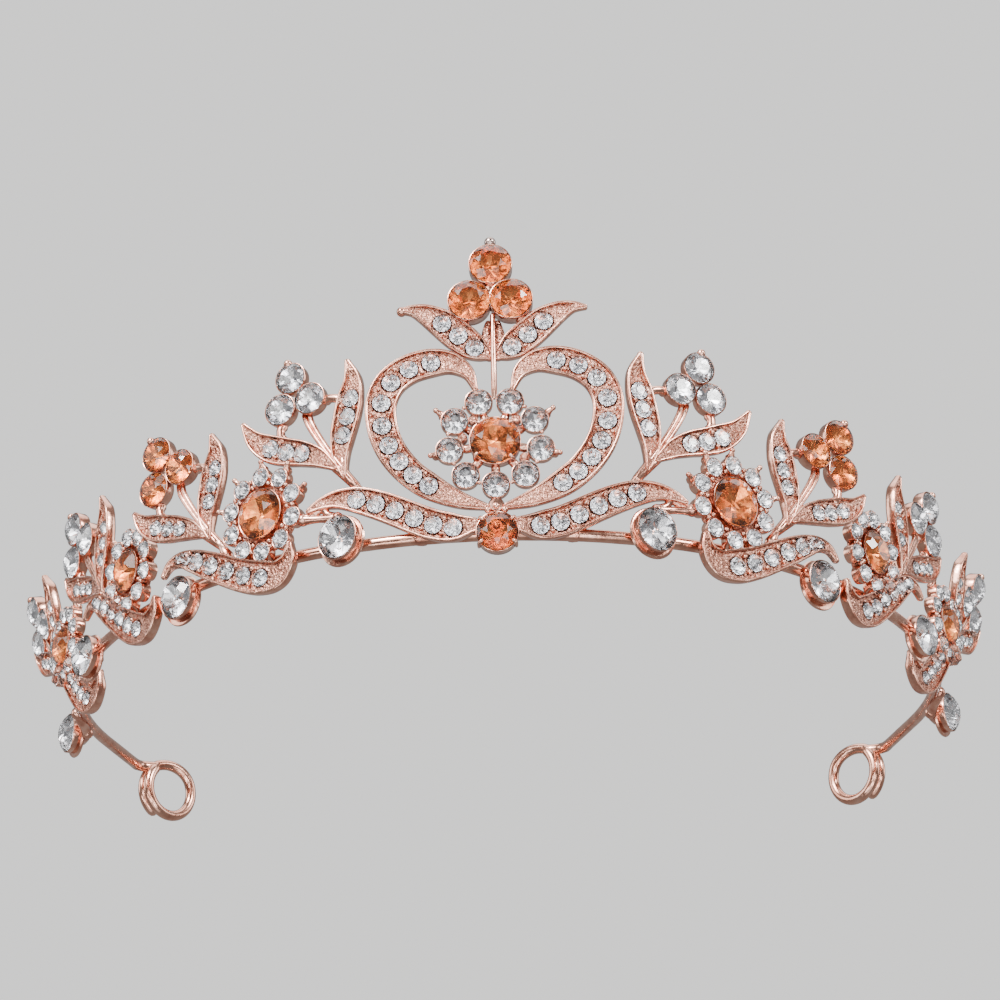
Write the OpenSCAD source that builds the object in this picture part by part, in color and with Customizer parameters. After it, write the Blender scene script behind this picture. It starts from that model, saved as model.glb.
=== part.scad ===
// Bridal tiara: openwork castings and foiled round stones on a round wire headband.
// Millimetres. The front faces -Y, +Z is up, X runs across the head. The tiara stands on its
// two end loops and the lowest scrolls, with z = 0 at the surface that it stands on.

/* [Headband] */
// Diameter of the headband wire
wire_d = 2.0; // [1.8:0.1:2.1]
// Radius of the band's front stretch
front_r = 69; // [68.5:0.5:69.5]
// Radius from the wire's centre line to the middle of an end loop
loop_r = 5.1; // [4.9:0.1:5.3]
// Turn of each end loop out of the front view, in degrees
loop_turn = 46; // [42:1:50]

/* [Castings] */
// Thickness of a casting behind its floor
plate_t = 1.5; // [1.4:0.1:1.6]
// Height of the raised rim above the floor
rim_h = 0.6; // [0.5:0.1:0.8]
// Width of the raised rim
rim_w = 0.6; // [0.5:0.05:0.7]
// Wall of a round stone cup
cup_wall = 0.35; // [0.3:0.05:0.4]
// Diameter of the round bars and struts
bar_d = 1.1; // [0.9:0.1:1.3]
// Diameter of the stem behind the crest stones
stem_d = 0.9; // [0.8:0.1:1.1]

/* [Stones] */
// Diameter of the small stones set along the channels
pave_d = 2.8; // [2.6:0.1:2.8]
// Diameter of the centre flower's big stone
heart_stone_d = 7.6; // [7.2:0.1:7.6]
// Diameter of the centre flower's petal stones
heart_petal_d = 4.0; // [3.8:0.1:4.0]
// Diameter of the three crest stones
crest_stone_d = 6.5; // [6.2:0.1:6.5]
// Diameter of the drop stone at the bottom of the centre
centre_drop_d = 6.2; // [6.0:0.1:6.3]
// Diameter of the drop stones along the sides
drop_d = 6.8; // [6.6:0.1:6.9]
// Diameter of the side trefoils' stones
trefoil_d = 5.0; // [4.8:0.1:5.1]
// Diameter of the side flowers' petal stones
petal_d = 2.9; // [2.7:0.1:2.9]

/* [Build] */
// Sub-part to draw

/* [Hidden] */
$fn = 24;
wire_r = wire_d / 2;
joint_swell = 0.1;   // how far the wire's swelling stands out where two bends meet
joint_len = 2.4;     // length of that swelling along the wire
pave_r = pave_d / 2;
cutter_h = 12;       // depth of a cutter that runs right through a casting
seat_gap = 0.02;     // play around a stone in its seat
girdle_h = 0.25;
crown_share = 0.30;  // crown height over the stone's radius
table_share = 0.55;  // table radius over the stone's radius
culet_share = 0.30;  // flat culet radius over the stone's radius
bead_r = 0.32;       // bead prong beside a channel stone
bead_out = 1.25;     // from the channel's middle line to its beads
bead_foot = 0.3;     // how deep a bead stands in the floor
rose_gold = [0.83, 0.56, 0.47];
clear_stone = [0.90, 0.91, 0.93];
orange_stone = [0.87, 0.45, 0.22];

// The band's plan: arcs of [radius, angle], then a straight end.
band_y = 2.6;        // centre line of the wire behind the front plane at the middle
band_arcs = [[front_r, 50], [110, 18], [80, 34]];
band_end = 16;       // length of the straight end
rest_tilt = 1.73;    // the band leans forward when the tiara stands
lift = 6.173;        // height of the band's centre line above the surface at the front
depth_mid = 62.11;   // moves the origin to the middle of the depth

// Rows of [x, y, heading]: where each casting sits, with its local X along the heading.
centre_at = [0, 0, 0];
front_at = [3, 0, 13];
flower_at = [[36.6, 10.2, 33], [60.6, 33.0, 53], [77.1, 70.0, 64]];
sprig_at = [[21.4, 4.2, 24], [43.5, 15.0, 34], [64.4, 37.5, 57], [77.3, 74.5, 68]];
sprig_z = [8.9, 3.9, 3.7, 3.4];
sprig_tilt = [0, 0, 2, 14];           // how far a sprig leans outwards, in degrees
sprig_rise = [1, 0.90, 0.88, 0.88];   // how tall a sprig's upright leaf stands against the first one
leaf_lean = [0, 0.6, 1.2, 0];         // how far its tip leans outwards
leaf_rise = [1, 0.68, 0.62, 0.66];    // how high its outer leaf reaches
leaf_reach = [1, 0.90, 0.84, 0.84];   // how far its outer leaf reaches
leaf_scale = [1, 0.88, 0.80, 0.78];   // size of its leaves' stones
drop_at = [[24.1, 4.2, 32], [50.9, 22.6, 42], [70.3, 51.8, 54], [79.8, 94.5, 62]];
drop_z = [0.7, -1.7, -1.0, -1.1];
flower_z = [7.2, 7.0, 7.2];
flower_stone_r = [4.0, 3.5, 3.5];
ring_r = [6.3, 5.8, 5.8];             // radius of a side flower's ring of petals
petal_n = 10;
petal_from = 16;                      // angle of the first petal, in degrees
claws = [[124, 160, 88, 52, 16], [124, 52, 16], [124, 52]];
scroll_shift = [0, -3.8, -9.9];       // a side scroll's place along its flower's casting
scroll_reach = [1, 0.95, 0.72];       // its length against the first one
scroll_turn = [0, 0, -9];             // its heading against its flower's
scroll_roll = [0, 8, 10];             // its turn in its own plane
scroll_last = [8, 8, 7];              // its last point that holds a stone
scroll_pave_r = [pave_r, pave_r * 0.95, pave_r * 0.85];

// Centre lines of the castings as rows of [x, y, width], in each casting's own plane.
heart_line = [[2.9, 23.0, 0.9], [4.1, 25.9, 2.2], [6.6, 27.6, 3.6], [9.7, 27.7, 4.6],
  [13.1, 26.7, 4.8], [15.9, 24.5, 4.9], [17.4, 21.1, 4.9], [17.3, 17.3, 4.8],
  [16.3, 14.0, 4.7], [14.7, 11.3, 4.6], [12.6, 9.0, 4.4], [10.2, 7.2, 4.2],
  [7.4, 5.6, 3.3], [4.6, 4.4, 2.3], [1.6, 3.5, 1.1]];
crest_line = [[0.7, 28.6, 1.6], [2.9, 30.1, 4.3], [5.4, 32.2, 5.0], [7.9, 34.4, 4.7],
  [10.4, 36.0, 3.4], [12.5, 36.7, 1.9], [14.4, 36.6, 0.8]];
front_line = [[0.7, 0.6, 2.6], [3.7, 0.6, 4.5], [6.8, 1.4, 4.9], [9.8, 2.8, 4.9],
  [12.9, 4.4, 4.8], [15.9, 5.8, 4.6], [19.0, 6.9, 4.1], [22.0, 7.3, 3.0],
  [24.6, 6.8, 1.9], [26.6, 5.8, 0.9]];
scroll_line = [[-5.7, 0.9, 1.2], [-5.2, -1.6, 3.0], [-3.0, -3.4, 4.8], [0.2, -3.2, 5.5],
  [3.6, -2.1, 5.3], [6.9, -0.6, 5.0], [10.2, 1.0, 4.6], [13.2, 2.4, 3.9],
  [16.0, 3.3, 2.7], [18.3, 2.9, 1.6], [19.6, 1.3, 0.9]];
leaf_up = [[2.1, 2.4, 1.0], [2.8, 6.0, 2.9], [2.5, 9.2, 4.1], [1.8, 12.3, 4.6],
  [1.2, 15.3, 4.4], [0.8, 18.4, 3.0], [1.6, 21.6, 0.9]];
leaf_out = [[4.0, 4.3, 1.4], [6.8, 6.3, 3.2], [9.8, 7.6, 4.2], [12.6, 8.4, 4.6],
  [15.4, 9.5, 4.5], [18.1, 11.4, 3.1], [20.2, 14.4, 0.9]];
stem_line = [[-0.4, -0.6, 1.6], [2.2, 3.0, 1.2], [5.2, 7.2, 1.2], [7.6, 11.0, 1.2], [9.4, 14.6, 1.5]];
trefoil_centre = [[11.2, 17.7], [12.1, 15.9], [12.0, 13.9], [9.8, 12.4]];
trefoil_turn = [80, 64, 65, 70];      // angle of a trefoil's uppermost stone
stem_from = [0, 0, 0, 0.3];           // share of its line at which a sprig's stem starts
trefoil_r = 3.1;                      // from a trefoil's centre to its stones' centres
trefoil_scale = [1, 1.12, 1.08, 1.08];   // size of a trefoil against the first one
leaf_height = 21.6;                   // height of the first sprig's upright leaf
crest_trefoil = [[-0.2, 44.0], [-3.6, 37.8], [2.9, 37.9]];

// ---- Curves ----

// One coordinate of a smooth curve through b and c.
function blend(a, b, c, d, t) =
  0.5 * (2 * b + (c - a) * t + (2 * a - 5 * b + 4 * c - d) * t * t + (3 * b - a - 3 * c + d) * t * t * t);

// Point and width at share u of a centre line.
function along(line, u) =
  let (last = len(line) - 1, i = min(floor(u * last), last - 1))
  blend(line[max(i - 1, 0)], line[i], line[i + 1], line[min(i + 2, last)], u * last - i);

// Point on one edge of a centre line, moved inwards by inset.
function edge(line, u, side, inset) =
  let (q = along(line, u), d = along(line, min(u + 0.004, 1)) - along(line, max(u - 0.004, 0)),
    half = max(q[2] / 2 - inset, 0.06), l = norm([d[0], d[1]]))
  [q[0] - side * d[1] / l * half, q[1] + side * d[0] / l * half];

// Outline around a centre line, from share u0 to share u1.
module ribbon(line, steps, inset = 0, u0 = 0, u1 = 1) {
  shares = [for (i = [0:steps]) u0 + (u1 - u0) * i / steps];
  polygon(concat([for (u = shares) edge(line, u, 1, inset)],
    [for (i = [steps:-1:0]) edge(line, shares[i], -1, inset)]));
}

// Seats on the centre line's own points, from one row to another.
function seats(line, first, last) = [for (i = [first:last]) [line[i][0], line[i][1]]];

// A sprig's upright line and its outer leaf, fitted to its size.
function raised(line, k) = [for (p = line)
  [p[0] + leaf_lean[k] * p[1] / leaf_height, p[1] * sprig_rise[k], p[2]]];
function outer(line, k) = [for (p = line) [p[0] * leaf_reach[k], p[1] * leaf_rise[k], p[2]]];

// Centre of one of the three stones of a sprig's trefoil.
function trefoil_at(k, i) =
  trefoil_centre[k] + polar(trefoil_r * trefoil_scale[k], trefoil_turn[k] + 120 * i);

// A point of a casting's plane, set back into its thickness.
function behind(p) = [p[0], p[1], -0.9];

function petal_angle(i) = petal_from + i * 360 / petal_n;
function polar(r, a) = [r * cos(a), r * sin(a)];

// ---- Places ----

// Moves the band's own frame to the frame in which the tiara stands.
module stand() {
  translate([0, -depth_mid, lift]) rotate([rest_tilt, 0, 0]) children();
}

// Puts a casting's plane at its place: local Z points outwards from the head.
module at(place, z = 0) {
  translate([place[0], place[1], z]) rotate([90, 0, place[2]]) children();
}

module sided(left) {
  stand() mirror([left ? 1 : 0, 0, 0]) children();
}

// Point in the band's frame of a casting's local point.
function world(place, z, p) =
  [place[0] + p[0] * cos(place[2]) + p[2] * sin(place[2]),
    place[1] + p[0] * sin(place[2]) - p[2] * cos(place[2]), z + p[1]];

// Round bar between two points.
module rod(p, q, r) {
  d = q - p;
  translate(p) rotate([0, acos(d[2] / norm(d)), atan2(d[1], d[0])]) cylinder(r = r, h = norm(d));
}

// ---- Headband ----

// Start of arc i as [x, y, heading], measured along the band from its middle.
function arc_start(i) = i == 0 ? [0, band_y, 0] :
  let (s = arc_start(i - 1), r = band_arcs[i - 1][0], h = s[2] + band_arcs[i - 1][1])
  [s[0] + r * (sin(h) - sin(s[2])), s[1] + r * (cos(s[2]) - cos(h)), h];

// Point of the wire's centre line at heading h of arc i.
function wire_point(i, h) =
  let (s = arc_start(i), r = band_arcs[i][0])
  [s[0] + r * (sin(h) - sin(s[2])), s[1] + r * (cos(s[2]) - cos(h)), 0];

band_tail = arc_start(len(band_arcs));

// Bent length of wire: angle degrees about [x, y], from the direction start.
module bend(x, y, r, start, angle) {
  translate([x, y, 0]) rotate([0, 0, start])
    rotate_extrude(angle = angle, $fn = 90) translate([r, 0]) circle(r = wire_r);
}

module half_wire() {
  for (i = [1:len(band_arcs)]) {
    s = arc_start(i);
    translate([s[0], s[1], 0]) rotate([0, 90, s[2]])
      cylinder(r = wire_r + joint_swell, h = joint_len, center = true);
  }
  for (i = [1:len(band_arcs) - 1]) {
    s = arc_start(i);
    r = band_arcs[i][0];
    bend(s[0] - r * sin(s[2]), s[1] + r * cos(s[2]), r, s[2] - 90, band_arcs[i][1]);
  }
  translate([band_tail[0], band_tail[1], 0]) rotate([0, 90, band_tail[2]])
    cylinder(r = wire_r, h = band_end);
}

module wire() {
  bend(0, band_y + front_r, front_r, -90 - band_arcs[0][1], 2 * band_arcs[0][1]);
  half_wire();
  mirror([1, 0, 0]) half_wire();
}

module band_wire() {
  color(rose_gold) stand() wire();
}

loop_drop = [-5.8, 4.3, -3.8];   // from the wire's end to the middle of its loop
loop_entry = 50;                 // where the wire runs into its loop, in degrees

// A loop bent inwards and down from the wire's end, with the tail laid along its outer side.
module end_loop(left) {
  tip = [band_tail[0] + band_end * cos(band_tail[2]), band_tail[1] + band_end * sin(band_tail[2]), 0];
  middle = tip + loop_drop;
  entry = middle + loop_r * [cos(loop_entry) * cos(loop_turn), -cos(loop_entry) * sin(loop_turn),
    sin(loop_entry)];
  color(rose_gold) sided(left) difference() {
    union() {
      translate(middle) rotate([90, 0, -loop_turn]) {
        rotate_extrude($fn = 60) translate([loop_r, 0]) circle(r = wire_r);
        translate([0, 0, -wire_r * 1.4]) rotate([0, 0, -70])
          rotate_extrude(angle = 110, $fn = 60) translate([loop_r, 0]) circle(r = wire_r);
      }
      rod(tip, entry, wire_r);
      translate(tip) sphere(r = wire_r + joint_swell);
      translate(entry) sphere(r = wire_r + joint_swell);
    }
    wire();
  }
}

// ---- Castings and stones ----

// Round stone with a flat culet, a girdle, a crown and a table; its floor level is z = 0.
module stone(r) {
  h = stone_depth(r);
  translate([0, 0, -h]) cylinder(r1 = r * culet_share, r2 = r, h = h);
  cylinder(r = r, h = girdle_h);
  translate([0, 0, girdle_h]) cylinder(r1 = r, r2 = r * table_share, h = r * crown_share);
}

function stone_depth(r) = min(0.55 * r, 1.6);

// Cup for a round stone; its back is at the back of the castings.
module cup(r, level) {
  difference() {
    translate([0, 0, -plate_t]) cylinder(r = r + cup_wall, h = plate_t + level + girdle_h);
    translate([0, 0, level - stone_depth(r)]) cylinder(r = r + seat_gap, h = cutter_h);
  }
}

// Level at which a cup holds its stone above the castings' floor.
function cup_level(r) = stone_depth(r) - plate_t + 0.5;

// Channel casting: plate, raised rim, seats and bead prongs between the stones.
module channel(line, steps, seat_list, u0, u1, r = pave_r) {
  difference() {
    translate([0, 0, -plate_t]) linear_extrude(plate_t + rim_h) ribbon(line, steps);
    linear_extrude(cutter_h) ribbon(line, steps, rim_w, u0, u1);
    for (p = seat_list)
      translate([p[0], p[1], -stone_depth(r)]) cylinder(r = r + seat_gap, h = cutter_h);
  }
  for (i = [0:len(seat_list) - 2]) {
    gap = seat_list[i + 1] - seat_list[i];
    mid = (seat_list[i + 1] + seat_list[i]) / 2;
    across = [-gap[1], gap[0]] / norm(gap) * bead_out;
    for (side = [-1, 1])
      translate(concat(mid + side * across, -bead_foot)) cylinder(r = bead_r, h = bead_foot + rim_h);
  }
}

// Full-depth prism of a casting, used to fit its neighbours against it.
module prism(line, steps) {
  translate([0, 0, -cutter_h / 2]) linear_extrude(cutter_h) ribbon(line, steps);
}

module pave(seat_list, r = pave_r) {
  for (p = seat_list) translate([p[0], p[1], 0]) stone(r);
}

// ---- Centre ----

heart_steps = 44;
leaf_steps = 18;
scroll_steps = 26;
heart_ring = 7.1;
heart_centre = [0, 14.2];
heart_petals = 9;
heart_petal_r = heart_petal_d / 2;
window_ring = 5.2;   // the small holes between the flower's middle and its petals
window_r = 0.75;
function heart_petal(i) = heart_centre + polar(heart_ring, 30 + 40 * i);

module heart_side(left) {
  mirror([left ? 1 : 0, 0, 0]) channel(heart_line, heart_steps, seats(heart_line, 3, 11), 0.13, 0.83);
}

module centre_petal_prisms() {
  for (i = [0:heart_petals - 1])
    translate(concat(heart_petal(i), -cutter_h / 2)) cylinder(r = heart_petal_r + cup_wall, h = cutter_h);
}

module heart_frame() {
  color(rose_gold) stand() at(centre_at) difference() {
    union() {
      heart_side(false);
      heart_side(true);
      translate([0, 3.1, -plate_t]) cylinder(r = 1.9, h = plate_t + rim_h);
    }
    centre_petal_prisms();
    for (left = [0, 1]) mirror([left, 0, 0]) prism(crest_line, leaf_steps);
    translate([0, -0.7, -cutter_h / 2]) cylinder(r = centre_drop_d / 2 + cup_wall, h = cutter_h);
    for (left = [0, 1])
      mirror([left, 0, 0]) rotate([-90, 0, 0]) at(front_at) prism(front_line, scroll_steps);
  }
}

module heart_stones() {
  color(clear_stone) stand() at(centre_at)
    for (left = [0, 1]) mirror([left, 0, 0]) pave(seats(heart_line, 3, 11));
}

// Pointed claw that stands out by reach from a petal's cup, with a bead at its tip.
module claw(centre, r, angle, reach) {
  translate([centre[0], centre[1], -plate_t]) rotate([0, 0, angle]) {
    linear_extrude(plate_t + 0.3)
      polygon([[r * 0.5, -0.9], [r + reach, -0.25], [r + reach, 0.25], [r * 0.5, 0.9]]);
    translate([r + reach, 0, 0]) cylinder(r = 0.4, h = plate_t + 0.3);
  }
}

// Claws of the centre flower as rows of [petal's angle, heading, reach].
heart_claws = [[30, 33, 1.4], [150, 147, 1.4], [-10, -16, 1.0], [190, 196, 1.0], [-90, -90, 1.7]];

module centre_flower_setting() {
  hub_r = heart_stone_d / 2;
  color(rose_gold) stand() at(centre_at) difference() {
    union() {
      translate(concat(heart_centre, 0)) cup(hub_r, cup_level(hub_r));
      translate([0, heart_centre[1], -plate_t]) cylinder(r = heart_ring, h = 0.8);
      for (i = [0:heart_petals - 1])
        translate(concat(heart_petal(i), 0)) cup(heart_petal_r, cup_level(heart_petal_r));
      for (c = heart_claws) claw(heart_centre + polar(heart_ring, c[0]), heart_petal_r, c[1], c[2]);
    }
    translate(concat(heart_centre, cup_level(hub_r) - stone_depth(hub_r)))
      cylinder(r = hub_r + seat_gap, h = cutter_h);
    for (i = [0:heart_petals - 1])
      translate(concat(heart_petal(i), cup_level(heart_petal_r) - stone_depth(heart_petal_r)))
        cylinder(r = heart_petal_r + seat_gap, h = cutter_h);
    for (a = [90, 10, -70, -110, -150])
      translate(concat(heart_centre + polar(window_ring, a), -cutter_h / 2))
        cylinder(r = window_r, h = cutter_h);
  }
}

module centre_flower_petals() {
  color(clear_stone) stand() at(centre_at)
    for (i = [0:heart_petals - 1])
      translate(concat(heart_petal(i), cup_level(heart_petal_r))) stone(heart_petal_r);
}

module centre_flower_stone() {
  color(orange_stone) stand() at(centre_at)
    translate(concat(heart_centre, cup_level(heart_stone_d / 2))) stone(heart_stone_d / 2);
}

module crest_leaf(left) {
  color(rose_gold) sided(left) at(centre_at) difference() {
    channel(crest_line, leaf_steps, seats(crest_line, 1, 3), 0.08, 0.86);
    crest_prisms(!left);
  }
}

module crest_leaf_stones() {
  color(clear_stone) stand() at(centre_at)
    for (left = [0, 1]) mirror([left, 0, 0]) pave(seats(crest_line, 1, 3));
}

crest_level = 1.2;   // the crest's cups stand in front of the leaves

// Room for the crest's cups, stem and pad.
module crest_prisms(straight) {
  r = crest_stone_d / 2 + cup_wall;
  mirror([straight ? 0 : 1, 0, 0]) {
    for (p = crest_trefoil) translate([p[0], p[1], -cutter_h / 2]) cylinder(r = r, h = cutter_h);
    translate([0, 28, 0.7]) rotate([-90, 0, 0]) cylinder(d = stem_d, h = 9);
  }
}

module crest_setting() {
  r = crest_stone_d / 2;
  color(rose_gold) stand() at(centre_at) difference() {
    union() {
      for (p = crest_trefoil) translate([p[0], p[1], 0]) cup(r, crest_level);
      translate([-0.3, 40.2, -plate_t]) cylinder(r = 2.6, h = 2);
      translate([0, 21.4, 0.7]) rotate([-90, 0, 0]) cylinder(d = stem_d, h = 16);
      translate([-0.2, crest_trefoil[0][1] + r + 0.7, 0]) sphere(r = 0.85);
    }
    for (p = crest_trefoil)
      translate([p[0], p[1], crest_level - stone_depth(r)]) cylinder(r = r + seat_gap, h = cutter_h);
    centre_petal_prisms();
  }
}

module crest_stones() {
  color(orange_stone) stand() at(centre_at)
    for (p = crest_trefoil) translate([p[0], p[1], crest_level]) stone(crest_stone_d / 2);
}

drop_centre = [0.1, -0.7];

module centre_drop_setting() {
  r = centre_drop_d / 2;
  color(rose_gold) stand() difference() {
    union() {
      at(centre_at) translate(concat(drop_centre, 0)) cup(r, cup_level(r));
      rod([0, 0.8, 0], [0, band_y, 0], bar_d);
    }
    wire();
  }
}

module centre_drop_stone() {
  color(orange_stone) stand() at(centre_at)
    translate(concat(drop_centre, cup_level(centre_drop_d / 2))) stone(centre_drop_d / 2);
}

// ---- Front scrolls ----

module drop_prism(k) {
  at(drop_at[k], drop_z[k]) translate([0, 0, -cutter_h / 2])
    cylinder(r = drop_d / 2 + cup_wall, h = cutter_h);
}

module flower_prism(k) {
  at(flower_at[k], flower_z[k]) translate([0, 0, -cutter_h / 2]) {
    cylinder(r = ring_r[k] + 0.8, h = cutter_h);
    for (i = [0:petal_n - 1])
      translate(polar(ring_r[k], petal_angle(i))) cylinder(r = petal_d / 2 + cup_wall, h = cutter_h);
  }
}

// Three bars that tie a front scroll's tip, the first drop and the first side flower together.
module web() {
  tip = world(front_at, 0, [24.6, 6.6, -0.8]);
  drop = world(drop_at[0], drop_z[0], [0.8, 3.6, -0.8]);
  petal = world(flower_at[0], flower_z[0], [-7.4, -2.4, -1]);
  rod(tip, drop, bar_d / 2);
  rod(drop, petal, bar_d / 2);
  rod(petal, tip, bar_d / 2);
  translate(tip) sphere(r = bar_d / 2);
}

module front_scroll(left) {
  color(rose_gold) sided(left) difference() {
    union() {
      at(front_at) channel(front_line, scroll_steps, seats(front_line, 1, 6), 0.06, 0.86);
      rod(world(front_at, 0, [9, 0, -1]), wire_point(0, 10), bar_d);
      web();
    }
    wire();
    at(centre_at) translate(concat(drop_centre, -cutter_h / 2))
      cylinder(r = centre_drop_d / 2 + cup_wall, h = cutter_h);
    drop_prism(0);
    flower_prism(0);
  }
}

module front_scroll_stones() {
  color(clear_stone) for (left = [0, 1])
    sided(left == 1) at(front_at) pave(seats(front_line, 1, 6));
}

// ---- Sides ----

module flower(k, left) {
  hub_r = flower_stone_r[k];
  level = cup_level(petal_d / 2);
  color(rose_gold) sided(left) at(flower_at[k], flower_z[k]) difference() {
    union() {
      cup(hub_r, cup_level(hub_r));
      translate([0, 0, -plate_t]) cylinder(r = ring_r[k], h = 0.8);
      for (i = [0:petal_n - 1]) translate(polar(ring_r[k], petal_angle(i))) cup(petal_d / 2, level);
      for (a = claws[k]) claw(polar(ring_r[k], a), petal_d / 2, a, 1.2);
    }
    translate([0, 0, cup_level(hub_r) - stone_depth(hub_r)]) cylinder(r = hub_r + seat_gap, h = cutter_h);
    for (i = [0:petal_n - 1])
      translate(concat(polar(ring_r[k], petal_angle(i)), level - stone_depth(petal_d / 2)))
        cylinder(r = petal_d / 2 + seat_gap, h = cutter_h);
  }
}

function side_scroll(k) = [for (p = scroll_line)
  let (x = p[0] * scroll_reach[k] + scroll_shift[k], a = scroll_roll[k])
  [x * cos(a) - p[1] * sin(a), x * sin(a) + p[1] * cos(a), p[2]]];
function scroll_at(k) = flower_at[k] + [0, 0, scroll_turn[k]];
function scroll_z(k) = flower_z[k] - flower_z[0];
function scroll_seats(k) = seats(side_scroll(k), 3, scroll_last[k]);

// Where each side scroll's post meets the wire, as [arc, heading].
post_ends = [[0, 36], [1, 57], [2, 76]];

module scroll(k, left) {
  line = side_scroll(k);
  color(rose_gold) sided(left) difference() {
    union() {
      at(scroll_at(k), scroll_z(k))
        channel(line, scroll_steps, scroll_seats(k), 0.06, 0.9, scroll_pave_r[k]);
      rod(world(scroll_at(k), 0, [4 * scroll_reach[k] + scroll_shift[k], 0, -1]),
        wire_point(post_ends[k][0], post_ends[k][1]), bar_d);
    }
    wire();
    flower_prism(k);
    drop_prism(k);
    drop_prism(k + 1);
  }
}

knob_r = 0.75;       // knob on top of a trefoil

// Casting of two leaves and a stem that carries a trefoil; two small bars tie them together.
module sprig_place(k) {
  at(sprig_at[k], sprig_z[k]) rotate([sprig_tilt[k], 0, 0]) children();
}

module sprig(k, left) {
  up = raised(leaf_up, k);
  out = outer(leaf_out, k);
  stem_rise = trefoil_centre[k][1] / trefoil_centre[0][1];
  stem = [for (p = stem_line) [p[0], p[1] * stem_rise, p[2]]];
  leaf_r = pave_r * leaf_scale[k];
  r = trefoil_d / 2 * trefoil_scale[k];
  color(rose_gold) sided(left) difference() {
    sprig_place(k) difference() {
      union() {
        channel(up, leaf_steps, seats(up, 2, 4), 0.12, 0.86, leaf_r);
        channel(out, leaf_steps, seats(out, 2, 4), 0.12, 0.86, leaf_r);
        translate([0, 0, -plate_t]) linear_extrude(plate_t + rim_h) ribbon(stem, 10, 0, stem_from[k]);
        for (i = [0:2]) translate(trefoil_at(k, i)) cup(r, cup_level(r));
        rod(behind(along(up, 0.66)), behind(trefoil_at(k, 1)), bar_d / 2);
        rod(behind(along(out, 0.55)), behind(trefoil_at(k, 2)), bar_d / 2);
        translate(trefoil_at(k, 0) + polar(r + 0.8, trefoil_turn[k])) sphere(r = knob_r);
      }
      for (i = [0:2])
        translate(concat(trefoil_at(k, i), cup_level(r) - stone_depth(r)))
          cylinder(r = r + seat_gap, h = cutter_h);
      for (line = [up, out]) for (p = seats(line, 2, 4))
        translate([p[0], p[1], -stone_depth(leaf_r)]) cylinder(r = leaf_r + seat_gap, h = cutter_h);
    }
    if (k == 0) at(front_at) prism(front_line, scroll_steps);
    if (k > 0) at(scroll_at(k - 1), scroll_z(k - 1)) prism(side_scroll(k - 1), scroll_steps);
    if (k > 0) flower_prism(k - 1);
    if (k < 3) flower_prism(k);
  }
}

// Where the first three drops' posts meet the wire, as [arc, heading].
drop_posts = [[0, 20.5], [0, 47], [1, 66]];

// Arm that carries the last drop: from the wire's outer side, under it and up behind the cup.
module drop_arm() {
  lump_r = 1.25;
  from = wire_point(2, 90) + [1, 0, 0.2];
  under = wire_point(2, 90) + [0.1, 5, -1.9];
  rod(from, under, bar_d * 0.8);
  translate(from) sphere(r = lump_r);
  translate(under) sphere(r = lump_r);
  rod(under, world(drop_at[3], drop_z[3], [0, -1, -0.8]), bar_d);
}

module drop_setting(k, left) {
  r = drop_d / 2;
  color(rose_gold) sided(left) difference() {
    union() {
      at(drop_at[k], drop_z[k]) cup(r, cup_level(r));
      if (k < 3)
        rod(world(drop_at[k], 0, [0, drop_z[k], -1]),
          wire_point(drop_posts[k][0], drop_posts[k][1]), bar_d);
      else
        drop_arm();
    }
    wire();
    at(drop_at[k], drop_z[k]) translate([0, 0, cup_level(r) - stone_depth(r)])
      cylinder(r = r + seat_gap, h = cutter_h);
  }
}

module flower_stones() {
  color(orange_stone) for (left = [false, true]) for (k = [0:2])
    sided(left) at(flower_at[k], flower_z[k]) translate([0, 0, cup_level(flower_stone_r[k])])
      stone(flower_stone_r[k]);
}

module petal_stones(left) {
  color(clear_stone) sided(left) for (k = [0:2]) at(flower_at[k], flower_z[k])
    for (i = [0:petal_n - 1])
      translate(concat(polar(ring_r[k], petal_angle(i)), cup_level(petal_d / 2))) stone(petal_d / 2);
}

module scroll_stones(left) {
  color(clear_stone) sided(left) for (k = [0:2])
    at(scroll_at(k), scroll_z(k)) pave(scroll_seats(k), scroll_pave_r[k]);
}

module leaf_stones(left) {
  color(clear_stone) sided(left) for (k = [0:3]) sprig_place(k) {
    pave(seats(raised(leaf_up, k), 2, 4), pave_r * leaf_scale[k]);
    pave(seats(outer(leaf_out, k), 2, 4), pave_r * leaf_scale[k]);
  }
}

module trefoil_stones(k, left) {
  r = trefoil_d / 2 * trefoil_scale[k];
  sided(left) sprig_place(k) for (i = [0:2])
    translate(concat(trefoil_at(k, i), cup_level(r))) stone(r);
}

module trefoil_stones_clear(left) {
  color(clear_stone) for (k = [0, 2, 3]) trefoil_stones(k, left);
}

module trefoil_stones_orange() {
  color(orange_stone) for (left = [false, true]) trefoil_stones(1, left);
}

module drop_stones() {
  color(clear_stone) for (left = [false, true]) for (k = [0:3])
    sided(left) at(drop_at[k], drop_z[k]) translate([0, 0, cup_level(drop_d / 2)]) stone(drop_d / 2);
}

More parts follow.
